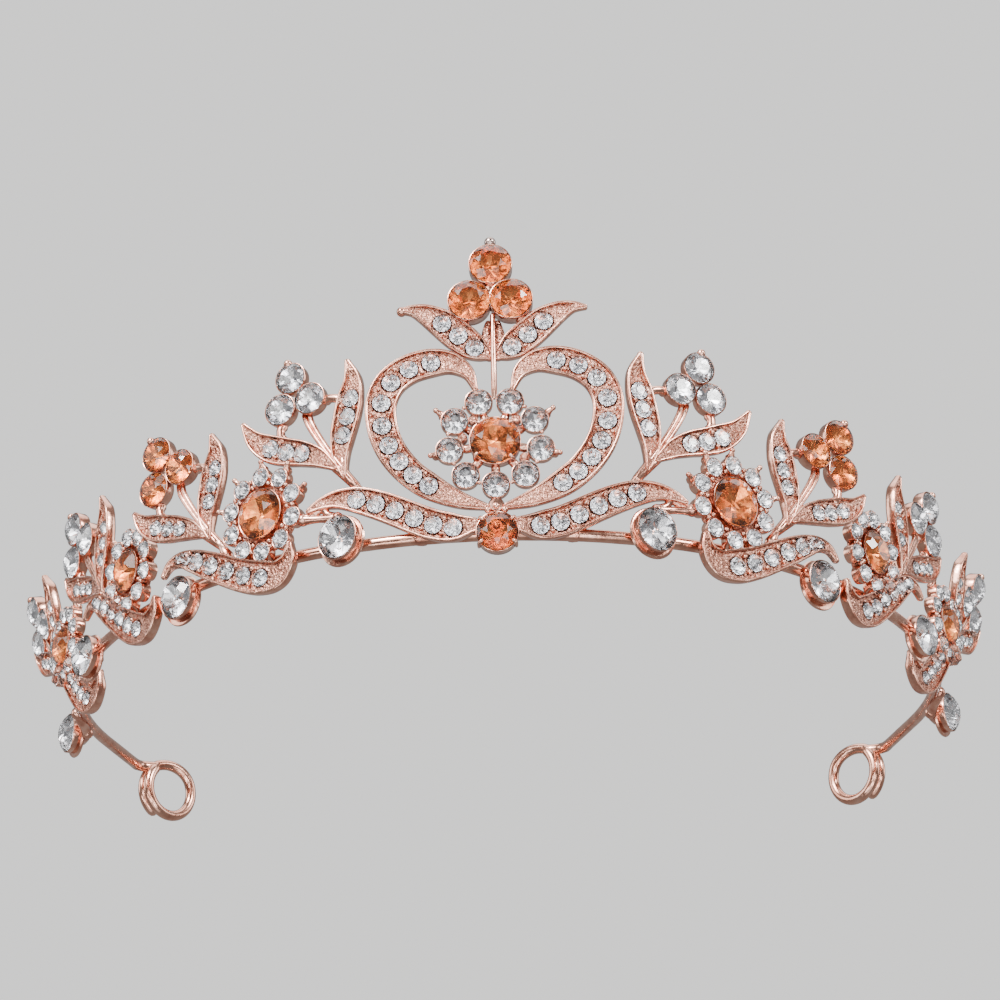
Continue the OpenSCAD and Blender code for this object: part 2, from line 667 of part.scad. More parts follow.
band_wire();
end_loop(true);  // end_loop_left
end_loop(false);  // end_loop_right
heart_frame();
heart_stones();
centre_flower_setting();
centre_flower_petals();
centre_flower_stone();
crest_leaf(true);  // crest_leaf_left
crest_leaf(false);  // crest_leaf_right
crest_leaf_stones();
crest_setting();
crest_stones();
centre_drop_setting();
centre_drop_stone();
front_scroll(true);  // front_scroll_left
front_scroll(false);  // front_scroll_right
front_scroll_stones();
for (k = [0:2]) {
  flower(k, true);
  flower(k, false);
  scroll(k, true);
  scroll(k, false);
}
for (k = [0:3]) {
  sprig(k, true);
  sprig(k, false);
  drop_setting(k, true);
  drop_setting(k, false);
}
flower_stones();
petal_stones(true);  // petal_stones_left
petal_stones(false);  // petal_stones_right
scroll_stones(true);  // scroll_stones_left
scroll_stones(false);  // scroll_stones_right
leaf_stones(true);  // leaf_stones_left
leaf_stones(false);  // leaf_stones_right
trefoil_stones_clear(true);  // trefoil_stones_clear_left
trefoil_stones_clear(false);  // trefoil_stones_clear_right
trefoil_stones_orange();
drop_stones();
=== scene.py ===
import math

import bpy
import numpy as np
from mathutils import Matrix, Vector

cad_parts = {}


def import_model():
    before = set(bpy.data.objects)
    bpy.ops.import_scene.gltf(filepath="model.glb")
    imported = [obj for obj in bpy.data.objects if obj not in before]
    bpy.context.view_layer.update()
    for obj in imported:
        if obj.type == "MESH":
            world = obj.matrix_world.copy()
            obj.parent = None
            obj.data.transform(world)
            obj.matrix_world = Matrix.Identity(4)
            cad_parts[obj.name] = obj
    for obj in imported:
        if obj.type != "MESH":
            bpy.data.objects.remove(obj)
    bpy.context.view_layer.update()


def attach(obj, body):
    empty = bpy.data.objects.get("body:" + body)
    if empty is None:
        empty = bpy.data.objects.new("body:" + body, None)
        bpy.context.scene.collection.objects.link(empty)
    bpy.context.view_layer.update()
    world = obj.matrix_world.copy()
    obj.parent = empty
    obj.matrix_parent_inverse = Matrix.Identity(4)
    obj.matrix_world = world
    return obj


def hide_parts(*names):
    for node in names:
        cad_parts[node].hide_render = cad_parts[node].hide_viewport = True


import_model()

# Looks of the bridal tiara: rounded castings with granular floors, faceted foiled stones and a
# drawn wire, built in the millimetres of the part and shown in metres.

MM = 0.001

# ---- The part's own numbers, in millimetres and degrees ----

WIRE_R = 1.0
BAND_Y = 2.6            # centre line of the wire behind the front plane at the middle
BAND_ARCS = [(69.0, 50.0), (110.0, 18.0), (80.0, 34.0)]      # radius and angle of each arc
BAND_END = 16.0         # length of the straight end
REST_TILT = 1.73        # the band leans forward when the tiara stands
LIFT = 6.173            # height of the band's centre line above the surface at the front
DEPTH_MID = 62.11       # moves the origin to the middle of the depth
LOOP_R = 5.1
LOOP_TURN = 46.0        # turn of an end loop out of the front view
LOOP_DROP = (-5.8, 4.3, -3.8)      # a loop's centre from the end of the band
LOOP_ENTRY = 50.0       # angle at which the wire joins its loop
PLATE_T = 1.5           # how far the backs of cups and pads lie behind the channels' floors
RIM_H = 0.6             # height of its rim above the floor
GIRDLE_H = 0.25
PAVE_R = 1.4            # stones along the channels
HUB_R = 3.8             # the centre flower's big stone
HEART_PETAL_R = 2.0     # its petals
CREST_R = 3.25
CENTRE_DROP_R = 3.1
DROP_R = 3.4
TREFOIL_STONE_R = 2.5
PETAL_R = 1.45          # petals of the side flowers

# Each casting's place as x, y and heading in the band's frame, with its height where it has one.
CENTRE = (0.0, 0.0, 0.0)
FRONT_AT = (3.0, 0.0, 13.0)
FLOWER_AT = [(36.6, 10.2, 33.0), (60.6, 33.0, 53.0), (77.1, 70.0, 64.0)]
FLOWER_Z = [7.2, 7.0, 7.2]
SPRIG_AT = [(21.4, 4.2, 24.0), (43.5, 15.0, 34.0), (64.4, 37.5, 57.0), (77.3, 74.5, 68.0)]
SPRIG_Z = [8.9, 3.9, 3.7, 3.4]
SPRIG_TILT = [0.0, 0.0, 2.0, 14.0]
DROP_AT = [(24.1, 4.2, 32.0), (50.9, 22.6, 42.0), (70.3, 51.8, 54.0), (79.8, 94.5, 62.0)]
DROP_Z = [0.7, -1.7, -1.0, -1.1]

# Side flowers: stone, ring of petals and the angles of their claws.
FLOWER_STONE_R = [4.0, 3.5, 3.5]
RING_R = [6.3, 5.8, 5.8]
PETAL_N = 10
PETAL_FROM = 16.0       # angle of the first petal
PETAL_LIFT = 0.45       # the petals stand in front of the scroll below them
CLAWS = [(124, 160, 88, 52, 16), (124, 52, 16), (124, 52)]
CLAW_REACH = 1.2

# Side scrolls: shift, reach, heading and roll against the first one, and the stones they hold.
SCROLL_SHIFT = [0.0, -3.8, -9.9]
SCROLL_REACH = [1.0, 0.95, 0.72]
SCROLL_TURN = [0.0, 0.0, -9.0]
SCROLL_ROLL = [0.0, 8.0, 10.0]
SCROLL_LAST = [8, 8, 7]
SCROLL_PAVE = [1.4, 1.33, 1.19]

# Sprigs: the leaves' proportions against the first sprig's, and the trefoil.
LEAF_HEIGHT = 21.6
SPRIG_RISE = [1.0, 0.90, 0.88, 0.88]
LEAF_LEAN = [0.0, 0.6, 1.2, 0.0]
LEAF_RISE = [1.0, 0.68, 0.62, 0.66]
LEAF_REACH = [1.0, 0.90, 0.84, 0.84]
LEAF_SCALE = [1.0, 0.88, 0.80, 0.78]
TREFOIL_AT = [(11.2, 17.7), (12.1, 15.9), (12.0, 13.9), (9.8, 12.4)]
TREFOIL_TURN = [80.0, 64.0, 65.0, 70.0]
TREFOIL_R = 3.1         # from a trefoil's centre to its stones' centres
TREFOIL_SCALE = [1.0, 1.12, 1.08, 1.08]
STEM_FROM = [0.0, 0.0, 0.0, 0.3]

# Centre: the flower's ring of petals, the crest's three stones and the drop.
HEART_CENTRE = (0.0, 14.2)
HEART_RING = 7.1
HEART_PETALS = 9
HEART_PETAL_FROM = 30
CREST_LEVEL = 1.2
CREST = [(-0.2, 44.0), (-3.6, 37.8), (2.9, 37.9)]
DROP_CENTRE = (0.1, -0.7)
HEART_CLAWS = [(30, 33, 1.4), (150, 147, 1.4), (-10, -16, 1.0), (190, 196, 1.0), (-90, -90, 1.7)]

# Posts from the castings to the wire: the arc and the angle where each one meets it.
SCROLL_POSTS = [(0, 36), (1, 57), (2, 76)]
DROP_POSTS = [(0, 20.5), (0, 47), (1, 66)]
FRONT_POST = (0, 10)
POST_Z = -2.1           # a post's end behind its casting, clear of the stones

# Centre lines of the castings as x, y and width, in each casting's own plane.
HEART_LINE = [(2.9, 23.0, 0.9), (4.1, 25.9, 2.2), (6.6, 27.6, 3.6), (9.7, 27.7, 4.6),
              (13.1, 26.7, 4.8), (15.9, 24.5, 4.9), (17.4, 21.1, 4.9), (17.3, 17.3, 4.8),
              (16.3, 14.0, 4.7), (14.7, 11.3, 4.6), (12.6, 9.0, 4.4), (10.2, 7.2, 4.2),
              (7.4, 5.6, 3.3), (4.6, 4.4, 2.3), (1.6, 3.5, 1.1)]
CREST_LINE = [(0.7, 28.6, 1.6), (2.9, 30.1, 4.3), (5.4, 32.2, 5.0), (7.9, 34.4, 4.7),
              (10.4, 36.0, 3.4), (12.5, 36.7, 1.9), (14.4, 36.6, 0.8)]
FRONT_LINE = [(0.7, 0.6, 2.6), (3.7, 0.6, 4.5), (6.8, 1.4, 4.9), (9.8, 2.8, 4.9),
              (12.9, 4.4, 4.8), (15.9, 5.8, 4.6), (19.0, 6.9, 4.1), (22.0, 7.3, 3.0),
              (24.6, 6.8, 1.9), (26.6, 5.8, 0.9)]
SCROLL_LINE = [(-5.7, 0.9, 1.2), (-5.2, -1.6, 3.0), (-3.0, -3.4, 4.8), (0.2, -3.2, 5.5),
               (3.6, -2.1, 5.3), (6.9, -0.6, 5.0), (10.2, 1.0, 4.6), (13.2, 2.4, 3.9),
               (16.0, 3.3, 2.7), (18.3, 2.9, 1.6), (19.6, 1.3, 0.9)]
LEAF_UP = [(2.1, 2.4, 1.0), (2.8, 6.0, 2.9), (2.5, 9.2, 4.1), (1.8, 12.3, 4.6),
           (1.2, 15.3, 4.4), (0.8, 18.4, 3.0), (1.6, 21.6, 0.9)]
LEAF_OUT = [(4.0, 4.3, 1.4), (6.8, 6.3, 3.2), (9.8, 7.6, 4.2), (12.6, 8.4, 4.6),
            (15.4, 9.5, 4.5), (18.1, 11.4, 3.1), (20.2, 14.4, 0.9)]
STEM_LINE = [(-0.4, -0.6, 1.6), (2.2, 3.0, 1.2), (5.2, 7.2, 1.2), (7.6, 11.0, 1.2),
             (9.4, 14.6, 1.5)]


# ---- Curves and places ----

def along(line, u):
    """Point and width at share u of a centre line."""
    last = len(line) - 1
    i = min(int(u * last), last - 1)
    t = u * last - i
    a, b, c, d = (np.array(line[j], float) for j in (max(i - 1, 0), i, i + 1, min(i + 2, last)))
    return 0.5 * (2 * b + (c - a) * t + (2 * a - 5 * b + 4 * c - d) * t * t
                  + (3 * b - a - 3 * c + d) * t ** 3)


def heading(line, u):
    """Unit direction of a centre line at share u."""
    d = (along(line, min(u + 0.004, 1.0)) - along(line, max(u - 0.004, 0.0)))[:2]
    return d / np.linalg.norm(d)


def polar(r, angle):
    a = math.radians(angle)
    return np.array([r * math.cos(a), r * math.sin(a)])


def turn(axis, angle):
    c, s = math.cos(math.radians(angle)), math.sin(math.radians(angle))
    i, j = {"x": (1, 2), "y": (2, 0), "z": (0, 1)}[axis]
    m = np.eye(4)
    m[i, i] = m[j, j] = c
    m[i, j], m[j, i] = -s, s
    return m


def shift(x, y, z):
    m = np.eye(4)
    m[:3, 3] = (x, y, z)
    return m


def at(place, z=0.0, tilt=0.0):
    """Matrix that puts a casting's plane at its place in the band's frame."""
    return shift(place[0], place[1], z) @ turn("z", place[2]) @ turn("x", 90 + tilt)


STAND = shift(0, -DEPTH_MID, LIFT) @ turn("x", REST_TILT)
MIRROR = np.diag([-1.0, 1.0, 1.0, 1.0])


def sided(left):
    """The band's frame as it stands, mirrored for the left side."""
    return STAND @ MIRROR if left else STAND


def apply(m, p):
    p = np.atleast_2d(np.asarray(p, float))
    return p @ m[:3, :3].T + m[:3, 3]


def world(place, z, p):
    """A point of a casting's plane in the band's frame."""
    return apply(at(place, z), p)[0]


def side_name(left):
    return "left" if left else "right"


def band_start(i):
    """Point and heading where arc i of the right half of the band starts."""
    x, y, h = 0.0, BAND_Y, 0.0
    for r, a in BAND_ARCS[:i]:
        k = h + math.radians(a)
        x += r * (math.sin(k) - math.sin(h))
        y += r * (math.cos(h) - math.cos(k))
        h = k
    return x, y, h


def wire_point(i, angle):
    """Point of the wire on arc i, where its heading is the given angle."""
    x, y, h = band_start(i)
    r, k = BAND_ARCS[i][0], math.radians(angle)
    return np.array([x + r * (math.sin(k) - math.sin(h)),
                     y + r * (math.cos(h) - math.cos(k)), 0.0])


def ease(a, b, x):
    """Smooth step from 0 at a to 1 at b."""
    t = min(max((x - a) / (b - a), 0.0), 1.0)
    return t * t * (3 - 2 * t)


# ---- Building meshes ----

class Piece:
    """One visible piece: points, faces and a look for each face."""

    def __init__(self, name, slot, looks, nodes):
        self.name, self.slot, self.looks, self.nodes = name, slot, looks, nodes
        self.points, self.faces, self.face_looks, self.count = [], [], [], 0

    def add(self, points, faces, look, matrix):
        pts = apply(matrix, points)
        if np.linalg.det(matrix[:3, :3]) < 0:
            faces = [f[::-1] for f in faces]
        n = self.count
        self.points.append(pts)
        self.faces += [tuple(i + n for i in f) for f in faces]
        self.face_looks += [look] * len(faces) if isinstance(look, int) else list(look)
        self.count += len(pts)

    def make(self, sharp=40.0):
        mesh = bpy.data.meshes.new(self.name)
        mesh.from_pydata((np.vstack(self.points) * MM).tolist(), [], self.faces)
        for look in self.looks:
            mesh.materials.append(look)
        mesh.polygons.foreach_set("material_index", self.face_looks)
        mesh.validate()
        mesh.shade_smooth()
        mesh.set_sharp_from_angle(angle=math.radians(sharp))
        obj = bpy.data.objects.new(self.name, mesh)
        bpy.context.scene.collection.objects.link(obj)
        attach(obj, "root")
        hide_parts(*self.nodes)


def loft(piece, rows, look, matrix, row_looks=None):
    """Skin over rows of points; each row is a closed loop, and both ends are capped."""
    k = len(rows[0])
    faces, looks = [], []
    for i in range(len(rows) - 1):
        for j in range(k):
            n = (j + 1) % k
            faces.append((i * k + j, i * k + n, (i + 1) * k + n, (i + 1) * k + j))
            looks.append(row_looks[i][j] if row_looks else look)
    faces.append(tuple(range(k - 1, -1, -1)))
    faces.append(tuple((len(rows) - 1) * k + j for j in range(k)))
    looks += [look, look]
    piece.add(np.vstack(rows), faces, looks, matrix)


def lathe(piece, profile, centre, matrix, look=0, seg=28):
    """Turned shape about local Z through centre; the profile starts and ends on the axis."""
    cx, cy = centre[0], centre[1]
    cz = centre[2] if len(centre) > 2 else 0.0
    ring = [polar(1.0, 360.0 * j / seg) for j in range(seg)]
    pts, faces, inner = [(cx, cy, cz + profile[0][1])], [], profile[1:-1]
    for r, z in inner:
        pts += [(cx + r * d[0], cy + r * d[1], cz + z) for d in ring]
    pts.append((cx, cy, cz + profile[-1][1]))
    for j in range(seg):
        n = (j + 1) % seg
        faces.append((0, 1 + n, 1 + j))
        for i in range(len(inner) - 1):
            a, b = 1 + i * seg, 1 + (i + 1) * seg
            faces.append((a + j, a + n, b + n, b + j))
        a = 1 + (len(inner) - 1) * seg
        faces.append((a + j, a + n, len(pts) - 1))
    piece.add(pts, faces, look, matrix)


def ball(piece, centre, r, matrix, look=0, flat=1.0, seg=12):
    """Round bead; flat is its height over its width."""
    lathe(piece, [(r * math.sin(math.radians(a)), -r * flat * math.cos(math.radians(a)))
                  for a in range(0, 181, 20)], centre, matrix, look, seg)


END_ANGLES = (35, 62, 82)      # rows of a tube's round ends


def tube(piece, path, radii, matrix, look=0, seg=14):
    """Round bar along a path, with rounded ends."""
    path = [np.array(p, float) for p in path]
    radii = list(radii) if hasattr(radii, "__len__") else [radii] * len(path)
    for end in (0, -1):
        step = path[end] - path[1 if end == 0 else -2]
        step = step / np.linalg.norm(step)
        r, root = radii[end], path[end]
        extra = [(root + step * r * math.sin(math.radians(a)), r * math.cos(math.radians(a)))
                 for a in END_ANGLES]
        for p, q in extra:
            if end == 0:
                path.insert(0, p)
                radii.insert(0, q)
            else:
                path.append(p)
                radii.append(q)
    rows, side = [], None
    for i, p in enumerate(path):
        d = path[min(i + 1, len(path) - 1)] - path[max(i - 1, 0)]
        d = d / np.linalg.norm(d)
        if side is None:
            side = np.cross(d, (0, 0, 1) if abs(d[2]) < 0.9 else (1, 0, 0))
        side = side - d * side.dot(d)
        side = side / np.linalg.norm(side)
        up = np.cross(side, d)
        rows.append([p + radii[i] * (math.cos(a) * side + math.sin(a) * up)
                     for a in (2 * math.pi * j / seg for j in range(seg))])
    loft(piece, rows, look, matrix)


def grain(a, b, c):
    """Repeatable value in -1..1 for a small surface irregularity."""
    v = math.sin(a * 12.9898 + b * 78.233 + c * 37.719) * 43758.5453
    return 2 * (v - math.floor(v)) - 1


RIM_LOOK, FLOOR_LOOK, BEAD_LOOK = 0, 1, 2      # a casting's looks
CROWN_LOOK, FOIL_LOOK = 0, 1                   # a stone's looks
EDGE_POINTS = 12     # points of a section from the back over the rim to the floor's edge
FLOOR_POINTS = 15    # points across the floor
RIM_R = 0.23         # radius of the round bead along a casting's edge
BACK = 1.32          # how far a channel's back lies behind its floor
FULL_HALF = 1.3      # from this half width on, the back has its full depth
FLOOR_GRAIN = 0.05   # how uneven the floor is
HOLE_PLAY = 0.12     # play round a stone in its seat
SEAT_SKIN = 0.1      # metal left behind a seat
SEAT_SLOPE = 2.6     # steepness of a seat's wall
END_ROWS = (80, 58, 30)      # rows of a channel's round ends, as angles


def channel_row(point, normal, half, depth, lift, key, holes, hole_r):
    """Cross-section of a channel casting: back, sides, two round rims and a floor between them."""
    rr = min(RIM_R, half * 0.5)
    top = RIM_H * lift
    zc = top - rr * lift
    inner = max(half - 2 * rr, 0.02)
    floor = top - rr * 0.35 - depth * (RIM_H - rr * 0.35)
    edge = min(0.13, half * 0.15)
    back = BACK * min(0.25 + 0.75 * half / FULL_HALF, 1.0)
    left = [(-half + 5.5 * edge, -back), (-half + 2.8 * edge, -back + 0.12),
            (-half + edge, -back * 0.66), (-half + edge * 0.2, -back * 0.27), (-half, 0.0)]
    left += [(-half + rr - rr * math.cos(math.radians(a)), zc + rr * lift * math.sin(math.radians(a)))
             for a in (0, 28, 56, 84, 112, 140)]
    left += [(-inner - (half - inner - rr) * 0.1, floor + (zc - floor) * 0.4)]
    mid = []
    for j in range(FLOOR_POINTS):
        s = inner * 0.96 * (2 * j / (FLOOR_POINTS - 1) - 1)
        z = floor + FLOOR_GRAIN * depth * grain(key, j, 3)
        for hole in holes:
            far = math.hypot(point[0] - normal[0] * s - hole[0], point[1] - normal[1] * s - hole[1])
            if far < hole_r + HOLE_PLAY:
                z = min(z, max(SEAT_SKIN - BACK, (far - hole_r - HOLE_PLAY) * SEAT_SLOPE))
        mid.append((s, z))
    section = left + mid + [(-s, z) for s, z in reversed(left)]
    return [np.array([point[0] + normal[0] * -s, point[1] + normal[1] * -s, z]) for s, z in section]


def channel(piece, line, steps, matrix, pocket, holes, hole_r=PAVE_R):
    """Channel casting along a centre line with rounded ends; pocket is the floor's share of it."""
    rows = []

    def add_row(u, back=0.0, shrink=1.0):
        q, d = along(line, u), heading(line, u)
        point = q[:2] + d * back
        half = max(q[2] / 2 * shrink, 0.03)
        depth = ease(pocket[0] - 0.05, pocket[0] + 0.03, u)
        depth *= 1 - ease(pocket[1] - 0.03, pocket[1] + 0.05, u)
        depth *= ease(0.75, 1.25, half)
        lift = 0.45 + 0.55 * shrink
        rows.append(channel_row(point, (-d[1], d[0]), half, depth, lift, len(rows), holes, hole_r))

    for a in END_ROWS:
        s = math.sin(math.radians(a))
        add_row(0.0, -line[0][2] / 2 * s, math.cos(math.radians(a)))
    for i in range(steps + 1):
        add_row(i / steps)
    for a in reversed(END_ROWS):
        s = math.sin(math.radians(a))
        add_row(1.0, line[-1][2] / 2 * s, math.cos(math.radians(a)))
    k = len(rows[0])
    # The floor faces take the floor look, whose darker tones are painted shade in the recess.
    looks = [FLOOR_LOOK if EDGE_POINTS - 1 <= j < EDGE_POINTS + FLOOR_POINTS else RIM_LOOK
             for j in range(k)]
    loft(piece, rows, RIM_LOOK, matrix, [looks] * len(rows))


def seats(line, first, last):
    """Places of the stones: one on each of these points of a centre line."""
    return [(line[i][0], line[i][1]) for i in range(first, last + 1)]


BEAD_OUT = 1.25      # from a channel's middle line to its bead prongs
BEAD_R = 0.36
BEAD_Z = 0.28        # height of their centres


def beads(piece, seat_list, matrix, offset=BEAD_OUT, r=BEAD_R):
    """Bead prongs on both sides between neighbouring stones."""
    for i in range(len(seat_list) - 1):
        a, b = np.array(seat_list[i]), np.array(seat_list[i + 1])
        d = (b - a) / np.linalg.norm(b - a)
        for side in (-1, 1):
            p = (a + b) / 2 + side * offset * np.array([-d[1], d[0]])
            size = r * (1 + 0.12 * grain(p[0], p[1], side))
            ball(piece, (p[0], p[1], BEAD_Z), size, matrix, RIM_LOOK, 1.1, 10)


def cup_level(r):
    """Height of a round cup's girdle, from the depth of its stone over a 0.5 mm base."""
    return min(0.55 * r, 1.6) - PLATE_T + 0.5


def cup(piece, centre, r, level, matrix, seg=32):
    """Thin cup round a stone, with a rolled lip and a cone inside."""
    out, lip = r + 0.2, level + 0.04
    low = -PLATE_T + 0.25
    lathe(piece, [(0, -PLATE_T), (out * 0.80, -PLATE_T), (out * 0.90, -PLATE_T + 0.1),
                  (out - 0.05, -PLATE_T + 0.5), (out, lip - 0.25), (out, lip),
                  (out - 0.03, lip + 0.08), (out - 0.09, lip + 0.10), (r + 0.03, lip + 0.06),
                  (r + 0.01, lip - 0.02), (r * 0.99, level - 0.06), (r * 0.30, low), (0, low)],
          centre, matrix, RIM_LOOK, seg)


def prong(piece, centre, r, angle, level, matrix, size=0.34):
    """Small claw that comes up the cup's side and ends in a bead over the stone's edge."""
    c = np.array(centre[:2])
    top = level + GIRDLE_H
    foot, knee, tip = (c + polar(r + out, angle) for out in (0.34, 0.22, -0.16))
    tube(piece, [(*foot, -0.6), (*foot, top - 0.3), (*knee, top + 0.15), (*tip, top + 0.36)],
         [0.28, 0.30, 0.30, 0.26], matrix, RIM_LOOK, 9)
    ball(piece, (*tip, top + 0.30), size, matrix, RIM_LOOK, 0.85, 10)


TIP_GAP = 0.2            # from a stone's point to the back of its casting
HALF_FACET = 22.5        # half the angle of one of a stone's eight main facets


def stone(piece, centre, r, level, matrix, spin=0.0, table=0.52, rise=0.34):
    """Faceted round stone: table, star, kite and girdle facets over a foiled pavilion."""
    zg = level + GIRDLE_H
    depth = min(0.78 * r, level + BACK - TIP_GAP)
    zt = zg + rise * r
    c, pts = np.array(centre[:2]), []

    def ring(radius, z, offset, n=8):
        start = len(pts)
        for i in range(n):
            p = c + polar(radius, spin + offset + 360.0 * i / n)
            pts.append((p[0], p[1], z))
        return start

    mid_r, low_r = 0.79 * r, 0.42 * r
    step = math.cos(math.radians(HALF_FACET))
    t = ring(table * r, zt, 0)
    m = ring(mid_r, zt - (mid_r * step - table * r) / (r - table * r) * (zt - zg),
             HALF_FACET)
    g = ring(r, zg, 0, 16)
    b = ring(r, level, 0, 16)
    low = ring(low_r, level - (r - low_r * step) / r * depth, HALF_FACET)
    tip = len(pts)
    pts.append((c[0], c[1], level - depth))
    faces, looks = [tuple(t + i for i in range(8))], [CROWN_LOOK]
    for i in range(8):
        n, p = (i + 1) % 8, (i - 1) % 8
        gi, hi, gn = g + 2 * i, g + 2 * i + 1, g + (2 * i + 2) % 16
        bi, ki, bn = b + 2 * i, b + 2 * i + 1, b + (2 * i + 2) % 16
        faces += [(t + i, m + i, t + n), (t + i, m + p, gi, m + i), (m + i, gi, hi), (m + i, hi, gn),
                  (gi, bi, ki, hi), (hi, ki, bn, gn)]
        looks += [CROWN_LOOK] * 6
        faces += [(bi, low + i, ki), (ki, low + i, bn), (bi, low + p, tip, low + i)]
        looks += [FOIL_LOOK] * 3
    piece.add(pts, faces, looks, matrix)


# ---- Looks: noise scales are per metre, bump heights in metres ----

def new_look(name):
    """New material with its nodes, links and main shader."""
    look = bpy.data.materials.new(name)
    look.use_nodes = True
    nodes = look.node_tree.nodes
    return look, nodes, look.node_tree.links, nodes["Principled BSDF"]


def node(nodes, kind, **inputs):
    n = nodes.new(kind)
    for key, value in inputs.items():
        n.inputs[key].default_value = value
    return n


def noise(nodes, links, scale, detail):
    coord = nodes.new("ShaderNodeTexCoord")
    tex = node(nodes, "ShaderNodeTexNoise", Scale=scale, Detail=detail, Roughness=0.55)
    links.new(coord.outputs["Object"], tex.inputs["Vector"])
    return tex.outputs["Fac"]


def ramp(nodes, links, source, stops):
    """Colour ramp through stops of position and colour."""
    r = nodes.new("ShaderNodeValToRGB")
    for element, (pos, colour) in zip(r.color_ramp.elements, (stops[0], stops[-1])):
        element.position, element.color = pos, (*colour, 1)
    for pos, colour in stops[1:-1]:
        r.color_ramp.elements.new(pos).color = (*colour, 1)
    links.new(source, r.inputs["Fac"])
    return r.outputs["Color"]


def span(nodes, links, source, low, high, start=0.3, end=0.7):
    """Maps start..end of a source to low..high, and holds it there beyond."""
    m = nodes.new("ShaderNodeMapRange")
    m.inputs["From Min"].default_value, m.inputs["From Max"].default_value = start, end
    m.inputs["To Min"].default_value, m.inputs["To Max"].default_value = low, high
    links.new(source, m.inputs["Value"])
    return m.outputs["Result"]


def bump(nodes, links, source, strength, distance, into=None):
    b = nodes.new("ShaderNodeBump")
    b.inputs["Strength"].default_value = strength
    b.inputs["Distance"].default_value = distance
    links.new(source, b.inputs["Height"])
    if into is not None:
        links.new(into, b.inputs["Normal"])
    return b.outputs["Normal"]


def plated_metal(name, tones, rough, dimples):
    """Rose-gold plating: colour that drifts, roughness that varies and a faintly uneven skin."""
    look, nodes, links, shader = new_look(name)
    shader.inputs["Metallic"].default_value = 1.0
    links.new(ramp(nodes, links, noise(nodes, links, 420, 4), tones), shader.inputs["Base Color"])
    uneven = span(nodes, links, noise(nodes, links, 900, 3), *rough)
    links.new(uneven, shader.inputs["Roughness"])
    normal = bump(nodes, links, noise(nodes, links, 700, 2), dimples, 0.0002)
    normal = bump(nodes, links, noise(nodes, links, 2200, 2), dimples * 0.3, 0.00004, normal)
    links.new(normal, shader.inputs["Normal"])
    return look


def granular_metal_painted_shade(name, tones):
    """Matt hammered floor between the rims: a real granular bump and roughness, in tones darker than
    the rims' that are painted shade in the recess.
    """
    look, nodes, links, shader = new_look(name)
    shader.inputs["Metallic"].default_value = 1.0
    coord = nodes.new("ShaderNodeTexCoord")
    cells = node(nodes, "ShaderNodeTexVoronoi", Scale=2600.0)
    links.new(coord.outputs["Object"], cells.inputs["Vector"])
    links.new(ramp(nodes, links, noise(nodes, links, 1500, 4), tones), shader.inputs["Base Color"])
    uneven = span(nodes, links, noise(nodes, links, 3000, 2), 0.24, 0.42)
    links.new(uneven, shader.inputs["Roughness"])
    normal = bump(nodes, links, cells.outputs["Distance"], 0.9, 0.00022)
    normal = bump(nodes, links, noise(nodes, links, 1800, 3), 0.6, 0.0002, normal)
    links.new(normal, shader.inputs["Normal"])
    return look


def crown_glass(name, tones, ior, rough):
    """Clear cut glass, with slight smudges and a tint that drifts from place to place."""
    look, nodes, links, shader = new_look(name)
    shader.inputs["Transmission Weight"].default_value = 1.0
    shader.inputs["IOR"].default_value = ior
    links.new(ramp(nodes, links, noise(nodes, links, 500, 2), tones), shader.inputs["Base Color"])
    uneven = span(nodes, links, noise(nodes, links, 1400, 3), *rough)
    links.new(uneven, shader.inputs["Roughness"])
    return look


def foil(name, tones, rough):
    """Foil behind the pavilion, with worn and darker patches."""
    look, nodes, links, shader = new_look(name)
    shader.inputs["Metallic"].default_value = 1.0
    links.new(ramp(nodes, links, noise(nodes, links, 700, 3), tones), shader.inputs["Base Color"])
    uneven = span(nodes, links, noise(nodes, links, 2000, 2), *rough)
    links.new(uneven, shader.inputs["Roughness"])
    return look


RIM = plated_metal("rose_gold_rim", [(0.30, (0.50, 0.20, 0.14)), (0.50, (0.73, 0.37, 0.27)),
                                     (0.72, (0.88, 0.52, 0.40))], (0.12, 0.26), 0.35)
# Floor tones lie below the rims': painted shade in the recessed channel floors, and on the plates,
# fillers and feet that share this look.
FLOOR = granular_metal_painted_shade("rose_gold_floor_painted_shade", [(0.30, (0.26, 0.10, 0.07)), (0.52, (0.52, 0.25, 0.18)),
                                           (0.72, (0.72, 0.41, 0.32))])
WIRE = plated_metal("rose_gold_wire", [(0.30, (0.52, 0.23, 0.16)), (0.50, (0.70, 0.36, 0.26)),
                                       (0.72, (0.82, 0.48, 0.37))], (0.12, 0.24), 0.18)
BEAD = plated_metal("brown_bead", [(0.30, (0.30, 0.20, 0.17)), (0.70, (0.55, 0.42, 0.38))],
                    (0.12, 0.25), 0.3)
CLEAR = crown_glass("clear_glass", [(0.35, (0.93, 0.94, 0.97)), (0.65, (0.99, 0.99, 1.0))],
                    1.60, (0.0, 0.03))
FROSTED = crown_glass("clear_petal_glass", [(0.35, (0.93, 0.94, 0.97)), (0.65, (0.99, 0.99, 1.0))],
                      1.58, (0.01, 0.08))
SILVER = foil("silver_foil", [(0.32, (0.62, 0.63, 0.66)), (0.50, (0.88, 0.88, 0.90)),
                              (0.70, (0.97, 0.97, 0.98))], (0.06, 0.22))
ORANGE = crown_glass("orange_glass", [(0.35, (0.96, 0.34, 0.12)), (0.65, (1.0, 0.48, 0.21))],
                     1.60, (0.0, 0.03))
COPPER = foil("copper_foil", [(0.32, (0.80, 0.42, 0.24)), (0.50, (0.95, 0.66, 0.46)),
                              (0.70, (1.0, 0.82, 0.64))], (0.08, 0.26))


